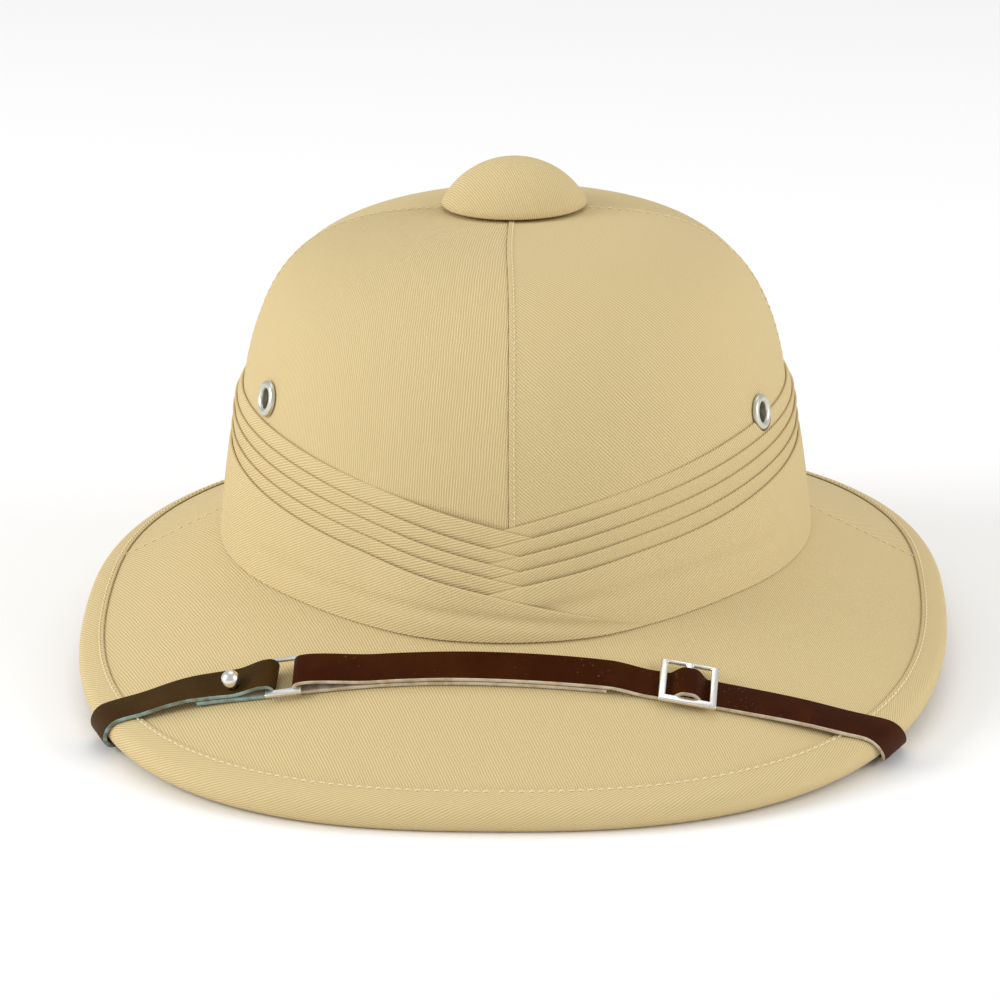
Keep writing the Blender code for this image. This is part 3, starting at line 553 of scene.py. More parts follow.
class Wiring:
    """Adds nodes to a node tree and wires them."""

    def __init__(self, tree: NodeTree) -> None:
        """Keeps the tree that is being built."""
        self.tree = tree

    def feed(self, node: Node, **inputs: object) -> None:
        """Sets a node's inputs.

        Args:
            node: The node.
            inputs: Values or sockets for its inputs; an underscore stands for a blank, and in_N is input number N.
        """
        for key, value in inputs.items():
            socket = node.inputs[int(key[3:])] if key.startswith("in_") else node.inputs[key.replace("_", " ")]
            if isinstance(value, NodeSocket):
                self.tree.links.new(value, socket)
            else:
                socket.default_value = value

    def add(self, kind: str, settings: dict[str, object] | None = None, **inputs: object) -> Node:
        """Adds a node.

        Args:
            kind: Its type, without the ShaderNode prefix unless it has another one.
            settings: Properties of the node.
            inputs: Values or sockets for its inputs, as for feed.

        Returns:
            The node.
        """
        node = self.tree.nodes.new(kind if kind.startswith("Node") else "ShaderNode" + kind)
        for key, value in (settings or {}).items():
            setattr(node, key, value)
        self.feed(node, **inputs)
        return node

    def sum(self, operation: str, first: object, second: object = 0.0, third: object = 0.0) -> NodeSocket:
        """Result of a Math node's operation on values or sockets."""
        return self.add("Math", {"operation": operation}, in_0=first, in_1=second, in_2=third).outputs[0]

    def span(self, value: NodeSocket, low: float, high: float, to_low: float = 0.0,
             to_high: float = 1.0) -> NodeSocket:
        """A value moved from one range to another and kept within it."""
        node = self.add("MapRange", Value=value, From_Min=low, From_Max=high, To_Min=to_low, To_Max=to_high)
        return node.outputs[0]

    def blend(self, factor: NodeSocket, first: Colour | NodeSocket, second: Colour) -> NodeSocket:
        """Colour at a share of the way from a first colour or socket to a second colour."""
        start = first if isinstance(first, NodeSocket) else (*first, 1.0)
        return self.add("Mix", {"data_type": "RGBA"}, in_0=factor, in_6=start, in_7=(*second, 1.0)).outputs[2]

    def place(self) -> NodeSocket:
        """Position on the piece."""
        return self.add("TexCoord").outputs["Object"]

    def noise(self, vector: NodeSocket, scale: float | NodeSocket, detail: float = 2.0) -> NodeSocket:
        """Soft noise from 0 to 1, with so many lumps per metre."""
        return self.add("TexNoise", Vector=vector, Scale=scale, Detail=detail).outputs[0]

    def stretched(self, vector: NodeSocket, scale: tuple[float, float, float], detail: float) -> NodeSocket:
        """Soft noise with its own number of lumps along each axis."""
        return self.noise(self.add("Mapping", Vector=vector, Scale=scale).outputs[0], 1.0, detail)

    def effect(self, name: str, **inputs: object) -> Node:
        """Places one of the shared effects."""
        return self.add("Group", {"node_tree": EFFECTS[name]}, **inputs)


def new_effect(name: str, inputs: dict[str, tuple[str, object]], outputs: list[str]) -> tuple[Wiring, Node, Node]:
    """Makes an empty shader node group.

    Args:
        name: Name of the group.
        inputs: Socket type and default for each input.
        outputs: Name of each output, a value.

    Returns:
        The group's wiring, and its input and output nodes.
    """
    group = bpy.data.node_groups.new(name, "ShaderNodeTree")
    for label, (kind, default) in inputs.items():
        socket = group.interface.new_socket(label, in_out="INPUT", socket_type="NodeSocket" + kind)
        if default is not None:
            socket.default_value = default
    for label in outputs:
        group.interface.new_socket(label, in_out="OUTPUT", socket_type="NodeSocketFloat")
    w = Wiring(group)
    return w, w.add("NodeGroupInput"), w.add("NodeGroupOutput")


@dataclass(frozen=True)
class TwillWeave:
    """Effect of slanting ribs made of short floats, a little uneven along each yarn."""

    sway_lumps: float = 90.0
    sway: float = 0.9 * MM
    float_turn: float = 4.6
    float_dip: float = 0.11
    slub_lumps: tuple[float, float, float] = (90.0, 900.0, 1.0)
    slub: float = 0.55

    def build(self) -> NodeTree:
        """Makes the group.

        Returns:
            The group, with the height of the cloth and a mask of its ribs.
        """
        sockets = {"Coordinates": ("Vector", None), "Angle": ("Float", 0.0), "Pitch": ("Float", 1.0 * MM)}
        w, given, result = new_effect("twill weave", sockets, ["Height", "Rib"])
        pitch = given.outputs["Pitch"]
        turned = w.add("VectorRotate", {"rotation_type": "Z_AXIS"}, Vector=given.outputs["Coordinates"],
                       Angle=w.sum("MULTIPLY", given.outputs["Angle"], -1.0)).outputs[0]
        parts = w.add("SeparateXYZ", Vector=turned)
        across = w.sum("MULTIPLY_ADD", w.noise(turned, self.sway_lumps, 1.0), self.sway, parts.outputs[1])
        phase = w.sum("DIVIDE", across, pitch)
        rib = w.sum("MULTIPLY_ADD", w.sum("COSINE", w.sum("MULTIPLY", phase, TURN)), 0.5, 0.5)
        along = w.sum("MULTIPLY_ADD", phase, 0.5, w.sum("DIVIDE", parts.outputs[0], pitch))
        wave = w.sum("COSINE", w.sum("MULTIPLY", along, self.float_turn))
        floats = w.sum("MULTIPLY_ADD", wave, self.float_dip, 1 - self.float_dip)
        slub = w.stretched(turned, self.slub_lumps, 2.0)
        height = w.sum("MULTIPLY_ADD", slub, self.slub, w.sum("MULTIPLY", rib, floats))
        w.feed(result, Height=height, Rib=rib)
        return w.tree


@dataclass(frozen=True)
class LeatherGrain:
    """Effect of fine cells with creases between them, worn patches and sparse pale specks."""

    crease: float = 0.12
    crease_share: float = 0.4
    lumps: float = 420.0
    lump_share: float = 0.6
    wear_lumps: float = 75.0
    wear_range: tuple[float, float] = (0.42, 0.68)
    dots: float = 620.0
    dot_range: tuple[float, float] = (0.16, 0.06)
    patch_lumps: float = 55.0
    patch_range: tuple[float, float] = (0.52, 0.66)

    def build(self) -> NodeTree:
        """Makes the group.

        Returns:
            The group, with the height of the grain, a mask of wear and a mask of specks.
        """
        sockets = {"Coordinates": ("Vector", None), "Cell": ("Float", 1500.0), "Specks": ("Float", 0.5)}
        w, given, result = new_effect("leather grain", sockets, ["Height", "Wear", "Speck"])
        where = given.outputs["Coordinates"]
        cells = w.add("TexVoronoi", {"feature": "DISTANCE_TO_EDGE"}, Vector=where, Scale=given.outputs["Cell"])
        crease = w.span(cells.outputs["Distance"], 0.0, self.crease)
        lumps = w.noise(where, self.lumps, 3.0)
        height = w.sum("MULTIPLY_ADD", lumps, self.lump_share, w.sum("MULTIPLY", crease, self.crease_share))
        wear = w.span(w.noise(where, self.wear_lumps, 4.0), *self.wear_range)
        dots = w.add("TexVoronoi", {"feature": "F1"}, Vector=where, Scale=self.dots)
        spot = w.span(dots.outputs["Distance"], *self.dot_range)
        patch = w.span(w.noise(where, self.patch_lumps, 2.0), *self.patch_range)
        speck = w.sum("MULTIPLY", w.sum("MULTIPLY", spot, patch), given.outputs["Specks"])
        w.feed(result, Height=height, Wear=wear, Speck=speck)
        return w.tree


@dataclass(frozen=True)
class SlowTone:
    """Effect of a slow change of tone over a surface, as from handling and dust."""

    fine_lumps: float = 160.0
    fine: float = 0.3
    broad: float = 0.7

    def build(self) -> NodeTree:
        """Makes the group.

        Returns:
            The group, with a mask around the middle of 0 to 1.
        """
        w, given, result = new_effect("slow tone", {"Size": ("Float", 14.0)}, ["Tone"])
        where = w.place()
        broad = w.sum("MULTIPLY", w.noise(where, given.outputs["Size"], 3.0), self.broad)
        w.feed(result, Tone=w.sum("MULTIPLY_ADD", w.noise(where, self.fine_lumps, 2.0), self.fine, broad))
        return w.tree


TONE_RANGE = (0.3, 0.7)
EFFECTS = {"twill": TwillWeave().build(), "grain": LeatherGrain().build(), "tone": SlowTone().build()}


class Finish:
    """Base of the finishes."""

    name: str

    def begin(self) -> tuple[Material, Wiring]:
        """Starts the material.

        Returns:
            The material and its wiring.
        """
        material = bpy.data.materials.new(self.name)
        material.use_nodes = True
        return material, Wiring(material.node_tree)

    def dress(self, material: Material, w: Wiring, height: NodeSocket, depth: float, **inputs: object) -> Material:
        """Feeds the material's shader.

        Args:
            material: The material.
            w: Its wiring.
            height: Height of the relief, about 0 to 1.
            depth: Size of the relief.
            inputs: Values or sockets for the shader's inputs, as for Wiring.feed.

        Returns:
            The material.
        """
        bump = w.add("Bump", Height=height, Distance=depth, Strength=1.0)
        w.feed(material.node_tree.nodes["Principled BSDF"], Normal=bump.outputs[0], **inputs)
        return material


@dataclass(frozen=True)
class TwillFinish(Finish):
    """Cotton twill with its ribs at an angle to the cloth's own U direction; the grooves between the ribs are painted
    darker as shade.
    """

    name: str
    angle: float
    light: Colour = (0.742, 0.594, 0.318)
    # Painted shade: the darker colour of the grooves between the ribs; lit_least is the share of the light colour that
    # the grooves keep.
    groove_shade: Colour = (0.488, 0.370, 0.172)
    lit_least: float = 0.1
    pitch: float = 0.86 * MM
    depth: float = 0.13 * MM
    fade_size: float = 14.0
    fade_most: float = 0.16
    faded: float = 0.82

    def build(self) -> Material:
        """Makes the material.

        Returns:
            The material.
        """
        material, w = self.begin()
        where = w.add("UVMap", {"uv_map": CLOTH_MAP}).outputs[0]
        weave = w.effect("twill", Coordinates=where, Angle=math.radians(self.angle), Pitch=self.pitch)
        # The colour goes from the light one on the ribs to the darker one in the grooves: painted shade where the ribs
        # shade each other.
        cloth = w.blend(w.span(weave.outputs["Rib"], 0.0, 1.0, self.lit_least), self.groove_shade, self.light)
        shade = w.span(w.effect("tone", Size=self.fade_size).outputs[0], *TONE_RANGE, 0.0, self.fade_most)
        colour = w.blend(shade, cloth, dimmed(self.light, self.faded))
        return self.dress(material, w, weave.outputs["Height"], self.depth, Base_Color=colour, Roughness=0.9,
                          Specular_IOR_Level=0.2, Sheen_Weight=0.04, Sheen_Roughness=0.5)


@dataclass(frozen=True)
class ThreadFinish(Finish):
    """Sewing thread, a little paler than the cloth, with painted shade in the hollows of its twist."""

    name: str = "sewing thread"
    colour: Colour = (0.86, 0.74, 0.47)
    hollow_shade: float = 0.86
    twists: float = 2600.0
    depth: float = 0.08 * MM

    def build(self) -> Material:
        """Makes the material.

        Returns:
            The material.
        """
        material, w = self.begin()
        twist = w.noise(w.place(), self.twists, 1.0)
        # Painted shade: the colour darkens in the hollows of the twist, where the bump is low.
        colour = w.blend(twist, dimmed(self.colour, self.hollow_shade), self.colour)
        return self.dress(material, w, twist, self.depth, Base_Color=colour, Roughness=0.75)


@dataclass(frozen=True)
class PithFinish(Finish):
    """Moulded pith under a thin coat of paint, finely porous."""

    name: str = "moulded pith"
    colour: Colour = (0.66, 0.55, 0.36)
    dusky: float = 0.84
    tone_size: float = 20.0
    pores: float = 650.0
    pore_share: float = 0.4
    lumps: float = 120.0
    roughness: tuple[float, float] = (0.78, 0.95)
    depth: float = 0.35 * MM

    def build(self) -> Material:
        """Makes the material.

        Returns:
            The material.
        """
        material, w = self.begin()
        where = w.place()
        pores = w.add("TexVoronoi", {"feature": "F1"}, Vector=where, Scale=self.pores).outputs["Distance"]
        lumps = w.noise(where, self.lumps, 4.0)
        dark = w.span(w.effect("tone", Size=self.tone_size).outputs[0], *TONE_RANGE)
        colour = w.blend(dark, self.colour, dimmed(self.colour, self.dusky))
        height = w.sum("MULTIPLY_ADD", pores, self.pore_share, lumps)
        rough = w.span(lumps, 0.0, 1.0, *self.roughness)
        return self.dress(material, w, height, self.depth, Base_Color=colour, Roughness=rough)


@dataclass(frozen=True)
class LeatherFinish(Finish):
    """Grain side of strap leather."""

    name: str
    colour: Colour
    worn: Colour
    roughness: float
    specks: float
    dust: Colour = (0.42, 0.30, 0.20)
    wear: float = 0.55
    worn_roughness: float = 0.14
    specular: float = 0.06
    gloss: Colour = (1.0, 0.62, 0.36)
    depth: float = 0.09 * MM

    def build(self) -> Material:
        """Makes the material.

        Returns:
            The material.
        """
        material, w = self.begin()
        height, wear, speck = w.effect("grain", Coordinates=w.place(), Specks=self.specks).outputs
        colour = w.blend(w.sum("MULTIPLY", wear, self.wear), self.colour, self.worn)
        rough = w.sum("MULTIPLY_ADD", wear, self.worn_roughness, self.roughness)
        return self.dress(material, w, height, self.depth, Base_Color=w.blend(speck, colour, self.dust),
                          Roughness=rough, Specular_IOR_Level=self.specular, Specular_Tint=(*self.gloss, 1.0))


@dataclass(frozen=True)
class CutFinish(Finish):
    """Cut edge or flesh side of leather, with loose fibres."""

    name: str
    colour: Colour
    stain: Colour
    fibres: float = 1300.0
    stains: float = 260.0
    stain_range: tuple[float, float] = (0.4, 0.65)
    depth: float = 0.22 * MM

    def build(self) -> Material:
        """Makes the material.

        Returns:
            The material.
        """
        material, w = self.begin()
        where = w.place()
        fibres = w.noise(where, self.fibres, 3.0)
        patch = w.span(w.noise(where, self.stains, 3.0), *self.stain_range)
        colour = w.blend(patch, self.colour, self.stain)
        return self.dress(material, w, fibres, self.depth, Base_Color=colour, Roughness=0.92)


@dataclass(frozen=True)
class NickelFinish(Finish):
    """Nickel plate with fine polishing marks and dull spots."""

    name: str
    colour: Colour = (0.80, 0.79, 0.76)
    roughness: float = 0.22
    tarnish: float = 0.72
    dull_spots: float = 140.0
    dull_range: tuple[float, float] = (0.42, 0.7)
    dullness: float = 0.35
    dull_roughness: float = 0.10
    marks: tuple[float, float, float] = (300.0, 2600.0, 2600.0)
    depth: float = 0.003 * MM

    def build(self) -> Material:
        """Makes the material.

        Returns:
            The material.
        """
        material, w = self.begin()
        where = w.place()
        marks = w.stretched(where, self.marks, 2.0)
        dull = w.span(w.noise(where, self.dull_spots, 2.0), *self.dull_range)
        colour = w.blend(w.sum("MULTIPLY", dull, self.dullness), self.colour, dimmed(self.colour, self.tarnish))
        rough = w.sum("MULTIPLY_ADD", dull, self.dull_roughness, self.roughness)
        return self.dress(material, w, marks, self.depth, Base_Color=colour, Metallic=1.0, Roughness=rough)


# ---------------------------------------------------------------- sewing

@dataclass(frozen=True)
class StitchRow:
    """A row of separate stitches laid along a line on the cloth."""

    name: str
    pitch: float
    length: float
    radius: float
    rings: int = 6
    segments: int = 6
    taper: float = 0.85
    rise: float = 0.9
    sink: float = 1.5

    def stitch(self, middle: np.ndarray, along: np.ndarray, normal: np.ndarray) -> np.ndarray:
        """Vertices of one stitch, which dips into the cloth at both ends.

        Args:
            middle: Its middle on the cloth.
            along: Unit direction of the row.
            normal: Unit normal of the cloth.

        Returns:
            The points, ring after ring.
        """
        aside = np.cross(along, normal)
        turns = np.linspace(0, TURN, self.segments, endpoint=False)
        shares = np.linspace(-1, 1, self.rings)[:, None, None]
        thick = self.radius * np.sqrt(1 - self.taper * shares ** 2)
        lift = self.radius * (self.rise - self.sink * shares ** 2)
        circle = aside * np.cos(turns)[:, None] + normal * np.sin(turns)[:, None]
        points = middle + along * shares * self.length / 2 + normal * lift + circle[None] * thick
        return points.reshape(-1, 3)

    def stitch_faces(self, start: int) -> list[tuple[int, ...]]:
        """Faces of one stitch.

        Args:
            start: Number of its first vertex.

        Returns:
            The faces.
        """
        size = self.segments
        faces = []
        for ring in range(self.rings - 1):
            for index in range(size):
                a = start + ring * size + index
                b = start + ring * size + (index + 1) % size
                faces.append((a, b, b + size, a + size))
        faces.append(tuple(start + index for index in reversed(range(size))))
        faces.append(tuple(start + (self.rings - 1) * size + index for index in range(size)))
        return faces

    def build(self, lines: list[Pair], material: Material) -> None:
        """Sews every line into one piece.

        Args:
            lines: Points along the cloth, and its normal at each.
            material: The thread.
        """
        points: list[np.ndarray] = []
        faces: list[tuple[int, ...]] = []
        for spots, normals in lines:
            reach = path_lengths(spots)
            for middle in np.arange(self.pitch / 2, reach[-1] - self.length / 2, self.pitch):
                before, centre, after = (
                    np.array([np.interp(at, reach, spots[:, axis]) for axis in range(3)])
                    for at in (middle - self.length / 2, middle, middle + self.length / 2)
                )
                normal = np.array([np.interp(middle, reach, normals[:, axis]) for axis in range(3)])
                along = (after - before) / np.linalg.norm(after - before)
                normal -= along * normal.dot(along)
                faces += self.stitch_faces(len(points) * self.rings * self.segments)
                points.append(self.stitch(centre, along, normal / np.linalg.norm(normal)))
        mesh = MAKER.mesh_from(self.name, np.concatenate(points), faces)
        MAKER.finish_piece(mesh, [material], Slot.CLOTH)


class Edge(Enum):
    """What happens at the edge of a cloth panel."""

    LAPS = "folded under and laid over its neighbour"
    UNDER = "tucked below its neighbour"


@dataclass(frozen=True)
class Hem:
    """Sizes of the cloth beside a seam."""

    extra: float = 0.4 * MM
    width: float = 1.3 * MM
    ease: float = 0.6
    rounding: float = 0.25 * MM
    fold_least: float = 0.15
    tucked_least: float = 0.9
    tucked_rise: float = 0.1

    def thickness(self, edge: Edge, distance: float | np.ndarray) -> np.ndarray:
        """Thickness of a panel near a seam: doubled and round where it is folded, pressed where it is tucked.

        Args:
            edge: How the panel meets its neighbour.
            distance: Distance from the seam.

        Returns:
            The thickness.
        """
        distance = np.asarray(distance)
        if edge is Edge.UNDER:
            return CLOTH * (self.tucked_least + self.tucked_rise * smooth(distance / MM))
        doubled = CLOTH + self.extra * (1 - smooth((distance - self.width) / (self.ease * self.width)))
        return doubled * rounded_edge(distance, self.rounding, self.fold_least)


HEM = Hem()


# ---------------------------------------------------------------- shell and cloth cover

@dataclass(frozen=True)
class Shell:
    """The moulded pith: crown, brim and vent hole."""

    columns: int = 240
    crown_rows: int = 40
    brim_rows: int = 9
    crown_end: float = 1.2 * MM
    brim_start: float = 2.0 * MM
    rim_chamfer: float = 2.2 * MM

    def section(self, azimuth: float) -> Pair:
        """Outer and inner face of the shell.

        Args:
            azimuth: Direction from the front.

        Returns:
            Two lists of points (radius, height).
        """
        foot = FORM.foot(azimuth)
        rim, run, _ = FORM.rim_frame(azimuth)
        crown = FORM.crown_path(azimuth, self.crown_rows, foot[1] + self.crown_end)
        length = np.linalg.norm(rim - foot) - self.rim_chamfer
        brim = [foot + run * reach for reach in np.linspace(self.brim_start, length, self.brim_rows)]
        path = np.concatenate([crown, brim, [rim]])
        walls = np.full(len(path), FORM.brim_wall)
        walls[:self.crown_rows - 2] = FORM.crown_wall
        walls[self.crown_rows - 2:self.crown_rows + 2] = np.linspace(FORM.crown_wall, FORM.brim_wall, 4)
        walls[-1] = FORM.brim_wall - self.rim_chamfer
        return path, offset_path(path, -walls)

    def build(self, material: Material) -> Object:
        """Makes the shell.

        Args:
            material: The pith.

        Returns:
            The piece.
        """
        grids = placed_round(self.section, self.columns)
        coordinates = cloth_coordinates(np.concatenate([grids[0], grids[0][:1]]))
        return MAKER.skin("pith_shell", grids, coordinates, True, material, Slot.PITH, ("shell",))


@dataclass(frozen=True)
class CrownPanel:
    """One quarter of the crown's cloth, between two seams."""

    name: str
    quarter: int
    start: Edge
    end: Edge
    rib_angle: float
    rows: int = 46
    middle_columns: int = 46
    low: float = 19.0 * MM
    seam_back: float = 12.0 * MM
    front_drift: tuple[float, float] = (-1.2 * MM, 2.8 * MM)
    drift_start: float = 27.0 * MM
    drift_length: float = 75.0 * MM

    def seam(self, at_end: bool) -> float:
        """Main direction of the panel's first or second seam."""
        return (self.quarter + at_end) * math.pi / 2

    def azimuths(self, path: np.ndarray, distance: float, at_end: bool) -> np.ndarray:
        """Directions of a line that runs beside a seam.

        Args:
            path: Crown section at the seam.
            distance: Distance from the seam.
            at_end: Whether it is the panel's second seam.

        Returns:
            One azimuth for each point of the path.
        """
        number = self.quarter + at_end
        spare = self.seam_back - FORM.top_back(path[:, 0])
        swing = {1: 1.0, 3: -1.0}.get(number, 0.0) * np.maximum(spare, 0.0) / path[:, 0]
        if number % 4 == 0:
            start, change = self.front_drift
            swing = (start + change * smooth((path[:, 0] - self.drift_start) / self.drift_length)) / path[:, 0]
        turn = (SEAM_GAP + distance) / path[:, 0]
        seam = self.seam(at_end) + swing
        return seam - turn if at_end else seam + turn

    def line(self, azimuth: float, azimuths: np.ndarray, lift: float) -> Pair:
        """A line down the crown, at a lift off the shell.

        Args:
            azimuth: Its main direction.
            azimuths: Direction of each of its points.
            lift: Distance off the shell.

        Returns:
            The points and the cloth's normals.
        """
        path = FORM.crown_path(azimuth, self.rows, self.low)
        path[:, 0] = FORM.crown_radius(azimuths, path[:, 1])
        here = FORM.place(azimuths, offset_path(path, lift))
        above = FORM.place(azimuths, offset_path(path, lift + MM))
        return here, (above - here) / MM

    def grids(self) -> Pair:
        """Outer and inner faces of the panel.

        Returns:
            Two grids of columns, rows and X, Y, Z.
        """
        first, last = (
            [(self.seam(at_end), self.azimuths(FORM.crown_path(self.seam(at_end), self.rows, self.low), d, at_end),
              HEM.thickness(edge, d)) for d in steps]
            for at_end, edge, steps in ((False, self.start, EDGE_STEPS), (True, self.end, EDGE_STEPS[::-1]))
        )
        between = [
            (self.seam(False) + share * math.pi / 2, first[-1][1] * (1 - share) + last[0][1] * share, CLOTH)
            for share in np.linspace(0, 1, self.middle_columns + 2)[1:-1]
        ]
        columns = first + between + last
        outer = np.array([self.line(azimuth, azimuths, GAP + thick)[0] for azimuth, azimuths, thick in columns])
        inner = np.array([self.line(azimuth, azimuths, GAP)[0] for azimuth, azimuths, _ in columns])
        return outer, inner

    def seam_line(self, distance: float, at_end: bool) -> Pair:
        """Line for stitches beside a seam.

        Args:
            distance: Distance from the seam.
            at_end: Whether it is the panel's second seam.

        Returns:
            Points and normals.
        """
        seam = self.seam(at_end)
        path = FORM.crown_path(seam, self.rows, self.low)
        lift = GAP + float(HEM.thickness(self.end if at_end else self.start, distance))
        return self.line(seam, self.azimuths(path, distance, at_end), lift)

    def build(self) -> Object:
        """Makes the panel.

        Returns:
            The piece.
        """
        grids = self.grids()
        coordinates = cloth_coordinates(grids[0], from_end=self.quarter in (1, 3))
        cloth = TwillFinish("twill " + self.name.replace("_", " "), self.rib_angle).build()
        return MAKER.skin("crown_cloth_" + self.name, grids, coordinates, False, cloth, Slot.CLOTH,
                          ("crown_panel_" + self.name,))


@dataclass(frozen=True)
class CrownCloth:
    """The four sewn panels of the crown, with their seams."""

    front_inset: float = 1.75 * MM
    side_inset: float = 1.7 * MM
    front_stitches: StitchRow = StitchRow("stitches_front_seam", 2.1 * MM, 1.5 * MM, 0.19 * MM)
    side_stitches: StitchRow = StitchRow("stitches_crown_side_seams", 3.4 * MM, 2.3 * MM, 0.20 * MM)
    panels: tuple[CrownPanel, ...] = (
        CrownPanel("front_right_side", 0, Edge.LAPS, Edge.LAPS, -44.0),
        CrownPanel("back_right_side", 1, Edge.UNDER, Edge.UNDER, 85.0),
        CrownPanel("back_left_side", 2, Edge.LAPS, Edge.UNDER, -44.0),
        CrownPanel("front_left_side", 3, Edge.LAPS, Edge.UNDER, 85.0),
    )

    def build(self, thread: Material) -> dict[str, Object]:
        """Makes the panels and their stitching.

        Args:
            thread: Sewing thread.

        Returns:
            The panels by name.
        """
        made = {panel.name: panel.build() for panel in self.panels}
        front, _, back, left = self.panels
        front_lines = [panel.seam_line(self.front_inset, False) for panel in (front, back)]
        self.front_stitches.build(front_lines, thread)
        side_lines = [front.seam_line(self.side_inset, True), left.seam_line(self.side_inset, False)]
        self.side_stitches.build(side_lines, thread)
        return made


@dataclass(frozen=True)
class BrimCloth:
    """The front and back covers of the brim, which meet at a seam on each side."""

    start: float = 2.0 * MM
    rim_inset: float = 2.0 * MM
    seam_back: float = 20.0 * MM
    seam_points: int = 20
    rows: int = 14
    front_columns: int = 150
    back_columns: int = 120
    front_angle: float = 111.0
    back_angle: float = 69.0
    slope: float = 1.1
    stitch_inset: float = 1.5 * MM
    stitches: StitchRow = StitchRow("stitches_brim_side_seams", 3.7 * MM, 2.6 * MM, 0.21 * MM)

    def point(self, azimuth: float, share: float, lift: float) -> np.ndarray:
        """World point on the brim.

        Args:
            azimuth: Direction from the front.
            share: Share of the way out to the rim.
            lift: Distance off the shell.

        Returns:
            The point.
        """
        foot = FORM.foot(azimuth)
        rim, run, up = FORM.rim_frame(azimuth)
        length = np.linalg.norm(rim - foot)
        reach = self.start + (length - self.start - self.rim_inset) * share
        return FORM.place(azimuth, foot + run * reach + up * lift)

    def radius(self, azimuth: float, share: float) -> float:
        """Distance from the axis at a share of the way out to the rim."""
        return FORM.foot(azimuth)[0] * (1 - share) + FORM.rim(azimuth)[0] * share

    def seam_azimuth(self, share: float) -> float:
        """Direction of the side seam, which runs straight across.

        Args:
            share: Share of the way out to the rim.

        Returns:
            The azimuth, found in three steps.
        """
        azimuth = math.pi / 2
        for _ in range(3):
            foot, rim = FORM.foot(azimuth)[0], FORM.rim(azimuth)[0]
            azimuth = math.pi / 2 + math.asin(self.seam_back / (foot + (rim - foot) * share))
        return azimuth

    def half(self, front: bool) -> Pair:
        """Grids of one cover.

        Args:
            front: Whether it is the front cover.

        Returns:
            Outer grid and inner grid.
        """
        edge = Edge.LAPS if front else Edge.UNDER
        shares = np.linspace(0, 1, self.rows)
        limits = np.array([self.seam_azimuth(share) for share in shares])
        radii = np.array([self.radius(limits[0], share) for share in shares])
        centre = 0.0 if front else math.pi
        reach = limits if front else math.pi - limits
        ends = [(reach - (SEAM_GAP + d) / radii, HEM.thickness(edge, d)) for d in EDGE_STEPS]
        count = self.front_columns if front else self.back_columns
        inside = [(ends[-1][0] * c, CLOTH) for c in np.linspace(-1, 1, count)[1:-1]]
        columns = [(-a, t) for a, t in ends] + inside + ends[::-1]
        outer, inner = (
            np.array([[self.point(centre + turn, share, GAP + thick * face) for turn, share in zip(turns, shares)]
                      for turns, thick in columns])
            for face in (1.0, 0.0)
        )
        return outer, inner

    def seam_line(self, side: Side) -> Pair:
        """Line of stitches beside a side seam.

        Args:
            side: Side of the front view.

        Returns:
            Points and normals.
        """
        lift = GAP + float(HEM.thickness(Edge.LAPS, self.stitch_inset))
        here, above = [], []
        for share in np.linspace(0, 1, self.seam_points):
            turn = (SEAM_GAP + self.stitch_inset) / self.radius(math.pi / 2, share)
            azimuth = side.value * (self.seam_azimuth(share) - turn)
            here.append(self.point(azimuth, share, lift))
            above.append(self.point(azimuth, share, lift + MM))
        return np.array(here), (np.array(above) - np.array(here)) / MM

    def build(self, thread: Material) -> None:
        """Makes both covers and the stitching of their seams.

        Args:
            thread: Sewing thread.
        """
        for name, front, angle in (("front", True, self.front_angle), ("back", False, self.back_angle)):
            grids = self.half(front)
            plan = np.stack([grids[0][..., 0], grids[0][..., 1] * self.slope], axis=-1)
            cloth = TwillFinish("twill brim " + name, angle).build()
            MAKER.skin("brim_cloth_" + name, grids, plan, False, cloth, Slot.CLOTH, ("brim_cover_" + name,))
        self.stitches.build([self.seam_line(side) for side in Side], thread)


